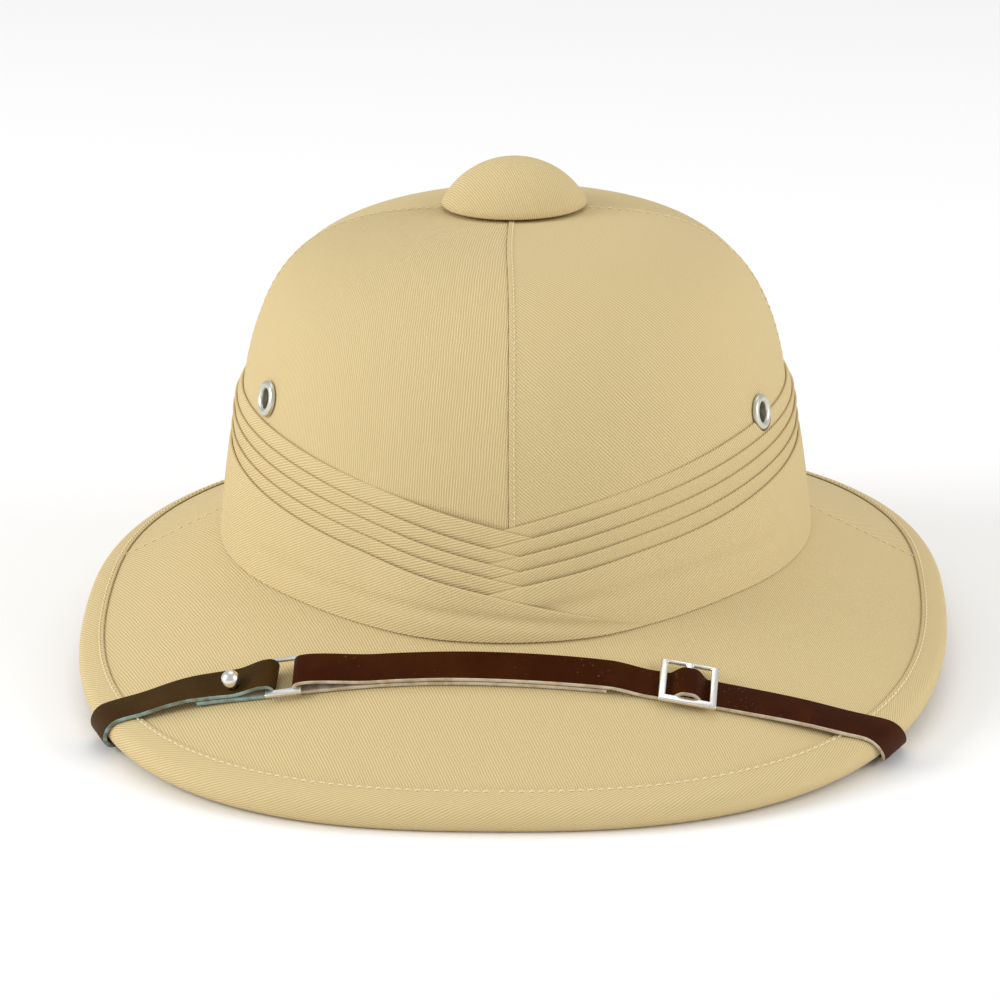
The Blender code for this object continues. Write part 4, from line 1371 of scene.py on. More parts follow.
@dataclass(frozen=True)
class RimBinding:
    """A bias strip folded over the rim and stitched through near its inner edge.

    The inner steps are millimetres in from the pressed edge of the upper run; the under shares are of its width.
    """

    width: float = 9.0 * MM
    bend: float = 2.0 * MM
    overhang: float = 2.2 * MM
    fullness: float = 2.08
    columns: int = 560
    arcs: int = 18
    rib_angle: float = 26.0
    edge_thickness: float = 0.5 * MM
    edge_taper: float = 4.0 * MM
    edge_rounding: float = 0.3 * MM
    edge_least: float = 0.2
    under_edge: float = 0.4 * MM
    inner_steps: tuple[float, ...] = (0.0, 0.1, 0.25, 0.5, 1.0, 1.6, 2.4, 3.4, 4.6, 5.8)
    under_shares: tuple[float, ...] = (0.45, 0.7, 0.97, 1.0)
    stitch_inset: float = 1.5 * MM
    stitches: StitchRow = StitchRow("stitches_binding", 3.1 * MM, 2.3 * MM, 0.30 * MM)

    @property
    def half(self) -> float:
        """Half the distance between the upper and the lower run of the strip."""
        return (FORM.brim_wall + 2 * CLOTH + 3 * GAP) / 2

    def bend_point(self, angle: float, spare: float, fullness: float = 2.0) -> tuple[float, float]:
        """Point of the bend round the rim.

        Args:
            angle: From straight up at a quarter turn to straight down.
            spare: Distance outside the strip's middle.
            fullness: Power of the curve, 2 for a plain oval.

        Returns:
            Distance out from the rim and rise above the brim.
        """
        cosine, sine = math.cos(angle), math.sin(angle)
        reach = max(cosine, 0.0) ** (2 / fullness)
        climb = math.copysign(abs(sine) ** (2 / fullness), sine)
        out = (self.bend + self.overhang + spare) * reach - self.bend
        return out, (self.half + spare) * climb + (CLOTH + GAP - FORM.brim_wall) / 2

    def tapered(self, inside: float | np.ndarray) -> float | np.ndarray:
        """Thickness of the upper run at a distance from its pressed inner edge."""
        return self.edge_thickness + (CLOTH - self.edge_thickness) * smooth(inside / self.edge_taper)

    def layer(self, azimuth: float) -> Pair:
        """Outer and inner face of the strip.

        Args:
            azimuth: Direction from the front.

        Returns:
            Two lists of points (radius, height).
        """
        rim, run, up = FORM.rim_frame(azimuth)
        top = self.bend_point(math.pi / 2, 0.0)[1]
        bottom = self.bend_point(-math.pi / 2, 0.0)[1]
        inwards = np.array(self.inner_steps) * MM
        spots = [(step - self.width, top) for step in inwards]
        angles = np.linspace(math.pi / 2, -math.pi / 2, self.arcs + 1)
        spots += [self.bend_point(angle, 0.0, self.fullness) for angle in angles]
        spots += [(-self.width * share, bottom) for share in self.under_shares]
        path = np.array([rim + run * out + up * rise for out, rise in spots])
        thick = np.full(len(path), CLOTH)
        edge = rounded_edge(inwards, self.edge_rounding, self.edge_least)
        thick[:len(inwards)] = self.tapered(inwards) * edge
        thick[-1] = self.under_edge
        return offset_path(path, thick - CLOTH / 2), offset_path(path, -CLOTH / 2)

    def stitch_line(self) -> Pair:
        """Line of stitches along the upper inner edge.

        Returns:
            Points and normals.
        """
        here, above = [], []
        rise = self.bend_point(math.pi / 2, 0.0)[1] + (self.tapered(self.stitch_inset) - CLOTH / 2)
        for azimuth in np.linspace(0, TURN, self.columns + 1):
            rim, run, up = FORM.rim_frame(azimuth)
            base = rim + run * (self.stitch_inset - self.width)
            here.append(FORM.place(azimuth, base + up * rise))
            above.append(FORM.place(azimuth, base + up * (rise + MM)))
        return np.array(here), (np.array(above) - np.array(here)) / MM

    def build(self, thread: Material) -> None:
        """Makes the binding, pressed flat where the helmet stands on it, and its stitching.

        Args:
            thread: Sewing thread.
        """
        outer, inner = placed_round(self.layer, self.columns)
        outer[..., 2] = np.maximum(outer[..., 2], 0.0)
        inner[..., 2] = np.maximum(inner[..., 2], 0.5 * CLOTH)
        coordinates = cloth_coordinates(np.concatenate([outer, outer[:1]]), shared=True)
        cloth = TwillFinish("twill binding", self.rib_angle).build()
        MAKER.skin("bound_rim", (outer, inner), coordinates, True, cloth, Slot.CLOTH, ("rim_binding",))
        self.stitches.build([self.stitch_line()], thread)


BINDING = RimBinding()


# ---------------------------------------------------------------- pugaree

@dataclass(frozen=True)
class FoldRow:
    """Heights of a fold's top edge, in millimetres."""

    side: float
    quarter: float
    front_right: float
    front_left: float


@dataclass(frozen=True)
class Crease:
    """Soft crease that runs round the front of the wide band."""

    depth: float = 1.0 * MM
    width: float = 2.0 * MM
    middle: float = 0.44
    wave: float = 0.1
    waves: int = 3
    phase: float = 0.6
    reach: float = math.radians(75)
    fade: float = math.radians(40)

    def at(self, azimuth: float, height: float, floor: float, top: float) -> float:
        """Depth of the crease at a point.

        Args:
            azimuth: Direction from the front.
            height: Height.
            floor: Height of the foot.
            top: Height of the top edge.

        Returns:
            The inward shift.
        """
        middle = floor + (top - floor) * (self.middle + self.wave * math.sin(self.waves * azimuth + self.phase))
        share = (height - middle) / self.width
        reach = float(smooth((self.reach - abs(azimuth)) / self.fade))
        return self.depth * reach * math.exp(-share * share)


@dataclass(frozen=True)
class Pugaree:
    """Five folded bands, each wrapped once round the crown, with its ends crossed at the front."""

    rows: tuple[FoldRow, ...] = (
        FoldRow(54.5, 49.6, 31.8, 31.8),
        FoldRow(50.0, 44.2, 27.0, 25.0),
        FoldRow(45.5, 38.6, 22.5, 20.5),
        FoldRow(39.5, 32.8, 18.0, 16.2),
        FoldRow(34.5, 27.0, 13.4, 11.2),
    )
    thickness: float = 0.92 * MM
    ply: float = 0.44 * MM
    unit: float = 1.0 * MM
    fold_rise: float = 0.3 * MM
    width: float = 7.5 * MM
    min_width: float = 1.0 * MM
    lean: float = 0.14
    flare_side: float = 6.1 * MM
    flare_front: float = 10.2 * MM
    slope_side: float = 3.0 * MM
    slope_quarter: float = 11.2 * MM
    slope_front: float = 24.0 * MM
    quarter: float = math.radians(45)
    crossing_start: float = math.radians(45)
    crossing_full: float = math.radians(8)
    lap_start: float = math.radians(26)
    right_end: float = math.radians(-7.5)
    left_end: float = math.radians(7.5)
    last_left_end: float = math.radians(22.5)
    columns: int = 380
    edge_arcs: int = 7
    fold_rows: int = 5
    wide_rows: int = 16
    wide_lip: float = 0.96
    rib_angle: float = -27.0
    tuck: float = 1.2 * MM
    tuck_width: float = 3.2 * MM
    foot_gap: float = 0.1 * MM
    crease: Crease = Crease()
    band_length: float = 0.69
    band_cut: float = 15.6 * MM
    wide_cut: float = 36.0 * MM

    def edge(self, row: FoldRow, azimuth: float, on_right: bool) -> float:
        """Height of a fold's top edge; past the middle of the front it keeps falling in a straight line.

        Args:
            row: The fold.
            azimuth: Direction from the front.
            on_right: Whether it is the end that comes from the right.

        Returns:
            The height.
        """
        front = (row.front_right if on_right else row.front_left) * MM
        share = (azimuth if on_right else -azimuth) / self.quarter
        if share < 0:
            return front + self.slope_front * share
        if share < 1:
            return ease_between(share, front, self.slope_front, row.quarter * MM, self.slope_quarter)
        return ease_between(min(share - 1, 1), row.quarter * MM, self.slope_quarter, row.side * MM, self.slope_side)

    def crossing(self, azimuth: float) -> float:
        """1 where the two ends lie over each other at the front, 0 at the sides."""
        return float(smooth((self.crossing_start - abs(azimuth)) / (self.crossing_start - self.crossing_full)))

    def lapped(self, azimuth: float) -> float:
        """1 where the bands stand off for the ends that cross below them, 0 where they lie close together."""
        return float(smooth((self.lap_start - abs(azimuth)) / (self.lap_start - self.crossing_full)))

    def flare(self, azimuth: float) -> float:
        """How far the pugaree's foot stands off the crown's cloth."""
        return self.flare_side + (self.flare_front - self.flare_side) * self.crossing(azimuth)

    def floor(self, azimuth: float) -> float:
        """Height of the pugaree's foot, clear of the brim's cover."""
        radius = float(FORM.crown_radius(azimuth, 0)) + CLOTH + 2 * GAP + self.flare(azimuth)
        return FORM.brim_height(azimuth, radius) + (CLOTH + GAP) / FORM.rim_frame(azimuth)[1][0] + self.foot_gap

    def offset(self, rank: float, azimuth: float, height: float) -> float:
        """Distance of a fold from the crown's cloth, with so many bands below it."""
        level = self.edge(self.rows[0], abs(azimuth), True) - self.width
        return self.unit * rank - self.lean * (1 - self.crossing(azimuth)) * (level - height)

    def wide_offset(self, azimuth: float, height: float, floor: float) -> float:
        """The same for the wide lowest band, which flares out straight to the pugaree's foot.

        Args:
            azimuth: Direction from the front.
            height: Height.
            floor: Height of the foot.

        Returns:
            The distance.
        """
        top = self.edge(self.rows[-1], abs(azimuth), True)
        at_top = self.offset((len(self.rows) - 1) * (1 + self.lapped(azimuth)), azimuth, top)
        return at_top + (self.flare(azimuth) - at_top) * (top - height) / (top - floor)

    def section(self, index: int, azimuth: float, on_right: bool) -> Pair:
        """Outside and inside of one band, folded over along its top edge or plain for the wide one.

        Args:
            index: Number of the band, from 0.
            azimuth: Direction from the front.
            on_right: Whether it is the end that comes from the right.

        Returns:
            Two lists of points (radius, height).
        """
        last = index == len(self.rows) - 1
        crossed = self.lapped(azimuth)
        over = 0.0 if on_right else crossed
        if last and not on_right and azimuth > 0:
            over = 1.0
        floor = self.floor(azimuth)
        top = self.edge(self.rows[index], azimuth, on_right)
        bottom = floor if last else max(floor, top - self.width)
        edge = max(top, bottom + self.min_width)
        shoulder = edge - self.fold_rise
        half = self.thickness / 2

        def spot(height: float, depth: float) -> tuple[float, float]:
            """Point of the band.

            Args:
                height: Its height.
                depth: Distance out from the band's back.

            Returns:
                Its radius and height.
            """
            if last:
                offset = self.wide_offset(azimuth, height, floor) + self.unit * over
                offset -= self.crease.at(azimuth, height, floor, edge)
            else:
                offset = self.offset(index * (1 + crossed) + over, azimuth, height)
                if index == 0:
                    offset -= self.tuck * (1 - crossed) * float(smooth(1 - (edge - height) / self.tuck_width))
            return float(FORM.crown_radius(azimuth, height)) + CLOTH + 2 * GAP + offset + depth, height

        def fold(angles: np.ndarray, rise: float, reach: float) -> list[tuple[float, float]]:
            """Points round the top edge, at angles from the band's outside to its back."""
            return [spot(shoulder + rise * math.sin(a), half + reach * math.cos(a)) for a in angles]

        angles = np.linspace(0, math.pi, self.edge_arcs)
        rows = self.wide_rows if last else self.fold_rows
        heights = shoulder - (shoulder - bottom) * np.linspace(1, 0, rows)
        outer = [spot(height, self.thickness) for height in heights]
        if last:
            outer += fold(angles[1:4], self.fold_rise, half)
            inner = [spot(min(height, shoulder), 0.0) for height in heights]
            inner += fold(angles[1:4], self.fold_rise, -half)
            inner[-1] = spot(edge, half * self.wide_lip)
            return np.array(outer), np.array(inner)
        inside = half - self.ply
        outer += fold(angles[1:-1], self.fold_rise, half)
        outer += [spot(height, 0.0) for height in heights[::-1]]
        inner = [spot(height, half + inside) for height in heights]
        inner += fold(angles[1:-1], inside, inside)
        inner += [spot(height, half - inside) for height in heights[::-1]]
        return np.array(outer), np.array(inner)

    def build(self, crown: dict[str, Object]) -> list[Object]:
        """Makes the five bands.

        Args:
            crown: The crown's panels, on which they lie; not used.

        Returns:
            The bands, top one first.
        """
        bands: list[Object] = []
        cloth = TwillFinish("twill pugaree", self.rib_angle).build()
        for index in range(len(self.rows)):
            last = index == len(self.rows) - 1
            end = TURN + (self.last_left_end if last else self.left_end)
            outer, inner = [], []
            for turn in np.linspace(self.right_end, end, self.columns):
                on_right = bool(turn < math.pi)
                azimuth = turn if on_right else turn - TURN
                for grid, section in zip((outer, inner), self.section(index, azimuth, on_right)):
                    grid.append(FORM.place(azimuth, section))
            grids = np.array(outer), np.array(inner)
            band = MAKER.skin(f"pugaree_band_{index + 1}", grids, cloth_coordinates(grids[0], shared=True), False,
                              cloth, Slot.CLOTH, (f"pugaree_fold_{index + 1}",))
            bands.append(band)
        return bands


# ---------------------------------------------------------------- button and eyelets

@dataclass(frozen=True)
class TopButton:
    """A cloth-covered cap over the crown's vent."""

    radius: float = 25.5 * MM
    dome: float = 15.3 * MM
    edge: float = 1.2 * MM
    lift: float = 2.4 * MM
    stem_radius: float = 7.5 * MM
    stem: float = 13.0 * MM
    flat: float = 2.5 * MM
    lip: float = 0.45 * MM
    lip_rounding: tuple[float, float] = (0.1 * MM, 0.35 * MM)
    arcs: int = 22
    segments: int = 120
    rib_angle: float = 114.0

    def build(self) -> None:
        """Makes the button."""
        ball = (self.radius ** 2 + self.dome ** 2) / (2 * self.dome)
        inset, rise = self.lip_rounding
        profile = [
            (0.0, -self.stem), (self.stem_radius, -self.stem), (self.stem_radius, 0.0),
            (self.radius - self.flat, 0.0), (self.radius - self.lip, 0.0), (self.radius - inset, rise),
        ]
        for angle in np.linspace(math.asin(self.radius / ball), 0, self.arcs):
            profile.append((ball * math.sin(angle), self.edge + self.dome - ball * (1 - math.cos(angle))))
        base = Vector(FORM.place(0.0, np.array([0.0, FORM.crown_height + self.lift])))
        place = aimed(base, FORM.rest.to_3x3() @ Vector((0, 0, 1)))
        cloth = TwillFinish("twill button", self.rib_angle).build()
        MAKER.turned("button", profile, place, self.segments, cloth, Slot.CLOTH, ("top_button",))


@dataclass(frozen=True)
class VentEyelets:
    """Two domed metal rings with open barrels through the cloth and the shell."""

    right: tuple[float, float] = (math.radians(59.5), 53.5 * MM)
    left: tuple[float, float] = (math.radians(-56.5), 59.3 * MM)
    aim_step: float = 0.01
    hole: float = 3.4 * MM
    barrel: float = 4.1 * MM
    flange: float = 6.2 * MM
    dome: float = 1.6 * MM
    depth: float = 11.0 * MM
    clearance: float = 0.4 * MM
    segments: int = 56
    arcs: int = 12

    def seat(self, side: Side) -> tuple[Vector, Vector]:
        """Point on the crown's cloth and outward normal at an eyelet.

        Args:
            side: Side of the front view.

        Returns:
            The point and the normal.
        """
        azimuth, height = self.right if side is Side.RIGHT else self.left
        step = self.aim_step
        along = FORM.crown_skin(azimuth + step, height) - FORM.crown_skin(azimuth - step, height)
        upward = FORM.crown_skin(azimuth, height + MM) - FORM.crown_skin(azimuth, height - MM)
        normal = along.cross(upward).normalized()
        return FORM.crown_skin(azimuth, height) + normal * (GAP + CLOTH), normal

    def build(self, metal: Material, drilled: dict[Side, list[Object]], fold: Object) -> None:
        """Makes both eyelets and the holes that they sit in.

        Args:
            metal: Their metal.
            drilled: Shell and panel that each barrel goes through.
            fold: Band that each flange stands clear of.
        """
        crest = (self.hole + self.flange) / 2
        half = (self.flange - self.hole) / 2
        foot = self.dome / 3
        profile = [(self.hole, -self.depth), (self.barrel, -self.depth), (self.barrel, GAP), (self.flange, GAP)]
        for angle in np.linspace(0, math.pi, self.arcs):
            profile.append((crest + half * math.cos(angle), GAP + foot + (self.dome - foot) * math.sin(angle)))
        reach = self.depth / 2
        for side in Side:
            point, normal = self.seat(side)
            name = side.name.lower()
            MAKER.turned(f"vent_eyelet_{name}", profile, aimed(point, normal), self.segments, metal, Slot.NICKEL,
                         (f"eyelet_{name}_side",))
            for piece in drilled[side]:
                MAKER.drill(piece, point - normal * reach, normal, self.barrel + self.clearance, 4 * reach)
            MAKER.drill(fold, point, normal, self.flange + self.clearance, 2 * reach)


# ---------------------------------------------------------------- chin strap

@dataclass(frozen=True)
class Station:
    """One section of the strap: its middle and its half-width direction, longer than 1 where it lies aslant."""

    middle: Vector
    rung: Vector


@dataclass(frozen=True)
class StrapForm:
    """Route and sizes of the chin strap.

    The route's rows give x and y of the middle of the strap on the front brim in millimetres, and its roll about its
    own run in degrees.
    """

    route: tuple[tuple[float, float, float], ...] = (
        (-131.0, -122.0, 0.0),
        (-98.0, -127.0, 1.0),
        (-70.0, -132.0, 6.0),
        (-27.0, -135.0, 0.0),
        (20.0, -137.0, 0.0),
        (72.0, -137.0, 0.0),
        (107.0, -135.5, 0.0),
        (128.0, -132.0, 0.0),
    )
    width: float = 12.7 * MM
    thickness: float = 1.5 * MM
    corner: float = 0.42 * MM
    spacing: float = 2.0 * MM
    hump_spacing: float = 0.6 * MM
    wrap_arcs: int = 22
    turn_arcs: int = 14
    under_clearance: float = 0.9 * MM
    lean_length: float = 28.0 * MM
    rise_start: float = 40.0 * MM
    rise_length: float = 24.0 * MM
    loop_turn: float = 2.1 * MM
    rim_search: float = 4.5 * MM
    rim_step: float = math.radians(7.5)
    anchor: float = 108.0 * MM
    tail: float = 8.0 * MM

    @property
    def low(self) -> float:
        """Lift of the strap's middle where it lies flat on the brim."""
        return CLOTH + 2 * GAP + self.thickness / 2

    @property
    def loop_lift(self) -> float:
        """Lift of the loop's middle."""
        return self.low + self.loop_turn

    @property
    def doubled(self) -> float:
        """Lift of the strap's middle where it lies on its own folded end."""
        return self.low + self.thickness + GAP

    def at(self, x: float) -> tuple[float, float]:
        """Plan y and roll of the strap at x, on a smooth curve through the route's rows.

        Args:
            x: Plan position.

        Returns:
            Plan y and roll.
        """
        rows = [(a * MM, b * MM, math.radians(c)) for a, b, c in self.route]
        rows.insert(0, tuple(2 * a - b for a, b in zip(rows[0], rows[1])))
        rows.append(tuple(2 * a - b for a, b in zip(rows[-1], rows[-2])))
        index = 1
        while index < len(rows) - 3 and x > rows[index + 1][0]:
            index += 1
        before, start, end, after = rows[index - 1:index + 3]
        span = end[0] - start[0]
        share = (x - start[0]) / span
        values = []
        for axis in (1, 2):
            start_slope = (end[axis] - before[axis]) / (end[0] - before[0]) * span
            end_slope = (after[axis] - start[axis]) / (after[0] - start[0]) * span
            values.append(ease_between(share, start[axis], start_slope, end[axis], end_slope))
        return values[0], values[1]

    def frame(self, x: float) -> tuple[Vector, Vector, Vector, Vector]:
        """Directions of the strap over the brim.

        Args:
            x: Plan position.

        Returns:
            Skin point, run, width direction and normal.
        """
        y, roll = self.at(x)
        run = FORM.brim_skin(x + MM, self.at(x + MM)[0]) - FORM.brim_skin(x - MM, self.at(x - MM)[0])
        run.normalize()
        across = run.cross(FORM.brim_normal(x, y)).normalized()
        turn = Matrix.Rotation(roll, 3, run)
        return FORM.brim_skin(x, y), run, turn @ across, turn @ run.cross(-across)

    def near_rim(self, x: float, y: float) -> float:
        """Extra lift that carries the strap over the binding."""
        inside = FORM.rim(math.atan2(x, -y))[0] - math.hypot(x, y)
        return (CLOTH + GAP) * float(smooth((self.rise_start - inside) / self.rise_length))

    def point(self, x: float, lift: float) -> Station:
        """A station of the strap at x, its middle lifted off the shell.

        Args:
            x: Plan position.
            lift: Lift of the middle.

        Returns:
            The station.
        """
        skin, _, across, _ = self.frame(x)
        y, roll = self.at(x)
        rolled = self.width / 2 * math.sin(abs(roll))
        return Station(skin + FORM.brim_normal(x, y) * (lift + self.near_rim(x, y) + rolled), across)

    def stretch(self, start: float, end: float, lift: Callable[[float], float],
                spacing: float | None = None) -> list[Station]:
        """Stations from one x to another, with the lift of the middle at each x."""
        count = max(round(abs(end - start) / (spacing or self.spacing)), 1)
        return [self.point(x, lift(x)) for x in np.linspace(start, end, count + 1)]

    def turn_round(self, bar: float, toward: int) -> list[Station]:
        """Half a turn round a side bar of the loop, from below to above it.

        Args:
            bar: Plan position of the bar.
            toward: 1 if the turn bulges towards +X, else -1.

        Returns:
            The stations.
        """
        _, run, across, normal = self.frame(bar)
        middle = self.point(bar, self.loop_lift).middle
        stations = []
        for angle in np.linspace(-math.pi / 2, math.pi / 2, self.turn_arcs + 1):
            out = run * (toward * self.loop_turn * math.cos(angle))
            stations.append(Station(middle + out + normal * (self.loop_turn * math.sin(angle)), across))
        return stations

    def wrap_start(self, side: Side) -> float:
        """The x at which the strap reaches the bend of the binding.

        Args:
            side: Side of the front view.

        Returns:
            The plan position, found by halving.
        """
        near, far = side.value * self.rim_search, side.value * FORM.rim_half_width
        for _ in range(40):
            x = (near + far) / 2
            y = self.at(x)[0]
            rim, run, _ = FORM.rim_frame(math.atan2(x, -y))
            outside = math.hypot(x, y) > rim[0] - BINDING.bend * run[0]
            near, far = (near, x) if outside else (x, far)
        return x

    def rim_point(self, azimuth: float, angle: float, spare: float) -> Vector:
        """World point beside the bend of the binding.

        Args:
            azimuth: Direction from the front.
            angle: From straight up at a quarter turn to straight down.
            spare: Distance outside the binding's middle.

        Returns:
            The point.
        """
        rim, run, up = FORM.rim_frame(azimuth)
        out, rise = BINDING.bend_point(angle, spare)
        return Vector(FORM.place(azimuth, rim + run * out + up * rise))

    def slant(self, side: Side) -> tuple[float, float, float]:
        """Slant of the strap where it meets the rim.

        Args:
            side: Side of the front view.

        Returns:
            How far along the rim it goes for each unit outwards, with the azimuth and unit length of the rim.
        """
        x = self.wrap_start(side)
        y, _ = self.at(x)
        start = math.atan2(x, -y)
        ahead = self.frame(x)[1] * side.value
        step = self.rim_step
        along = (self.rim_point(start + step, 0, 0) - self.rim_point(start - step, 0, 0)) / (2 * step)
        tangent = along.normalized() * side.value
        outward = tangent.cross(FORM.brim_normal(x, y)) * side.value
        return ahead.dot(tangent) / ahead.dot(outward), start, along.length

    def wrap(self, side: Side) -> list[Station]:
        """Stations that carry the strap slantwise round the rim, from above the brim to below it.

        Args:
            side: Side of the front view.

        Returns:
            The stations.
        """
        slant, start, length = self.slant(side)
        turn = side.value * slant * math.pi * (BINDING.bend + BINDING.overhang + self.low) / length
        reach = side.value * MM / length
        stations = []
        for share in np.linspace(0, 1, self.wrap_arcs + 1):
            azimuth = start + turn * share
            angle = math.pi * (0.5 - share)
            spare = self.low - CLOTH / 2 - GAP + self.under_clearance * float(smooth(share))
            ahead, behind = (self.rim_point(azimuth + turned, angle, spare) for turned in (-reach, reach))
            rung = (ahead - behind).normalized() * math.hypot(1, slant)
            stations.append(Station(self.rim_point(azimuth, angle, spare), rung))
        return stations

    def lean(self, stations: list[Station], side: Side) -> list[Station]:
        """Turns the rungs of the last stations before the wrap towards the rim's own direction.

        Args:
            stations: Stations of the upper run.
            side: Side of the front view.

        Returns:
            The stations.
        """
        slant = self.slant(side)[0]
        leaned = []
        for index, station in enumerate(stations):
            after = stations[min(index + 1, len(stations) - 1)].middle
            ahead = (after - stations[max(index - 1, 0)].middle).normalized()
            share = float(smooth(1 - (len(stations) - index) * self.spacing / self.lean_length))
            leaned.append(Station(station.middle, station.rung - ahead * (slant * share)))
        return leaned

    def under(self, side: Side, wrap: list[Station]) -> list[Station]:
        """Stations below the brim from the end of the wrap to the anchor.

        Args:
            side: Side of the front view.
            wrap: The wrap's stations.

        Returns:
            The stations.
        """
        back = FORM.rest.inverted()
        first, before = (back @ wrap[index].middle for index in (-1, -2))
        slant = self.slant(side)[0]
        anchor = Vector((side.value * self.anchor, 0, 0))
        span = (anchor - first).to_2d().length
        leave = (first - before).to_2d().normalized() * span
        arrive = Vector((0, span))
        count = round(span / (2 * self.spacing))
        spots = [
            [ease_between(index / count, *ends) for ends in zip(first[:2], leave, anchor[:2], arrive)]
            for index in range(count + 2)
        ]
        stations = []
        for index in range(1, count + 1):
            x, y = spots[index]
            normal = FORM.brim_normal(x, y)
            drop = FORM.brim_wall + self.low - CLOTH - GAP + self.under_clearance + self.near_rim(x, y)
            ahead = (FORM.brim_skin(*spots[index + 1]) - FORM.brim_skin(*spots[index - 1])).normalized()
            lean = slant * float(smooth(1 - index * 2 * self.spacing / self.lean_length))
            rung = normal.cross(ahead) * side.value - ahead * lean
            stations.append(Station(FORM.brim_skin(x, y) - normal * drop, rung))
        end = stations[-1]
        stations.append(Station(end.middle + normal.cross(end.rung) * side.value * -self.tail, end.rung))
        return stations

    def ring(self, station: Station, face: Vector) -> list[Vector]:
        """Section of the strap: a flat strip with worn corners.

        Args:
            station: Its place and width direction.
            face: Unit direction of its thickness.

        Returns:
            Points round the section.
        """
        quarter = [math.radians(angle) for angle in (0, 30, 60, 90)]
        points = []
        for spread, rise in ((1, 1), (-1, 1), (-1, -1), (1, -1)):
            for angle in quarter if spread * rise > 0 else reversed(quarter):
                wide = self.width / 2 - self.corner * (1 - math.cos(angle))
                tall = self.thickness / 2 - self.corner * (1 - math.sin(angle))
                points.append(station.middle + station.rung * (spread * wide) + face * (rise * tall))
        return points


STRAP = StrapForm()


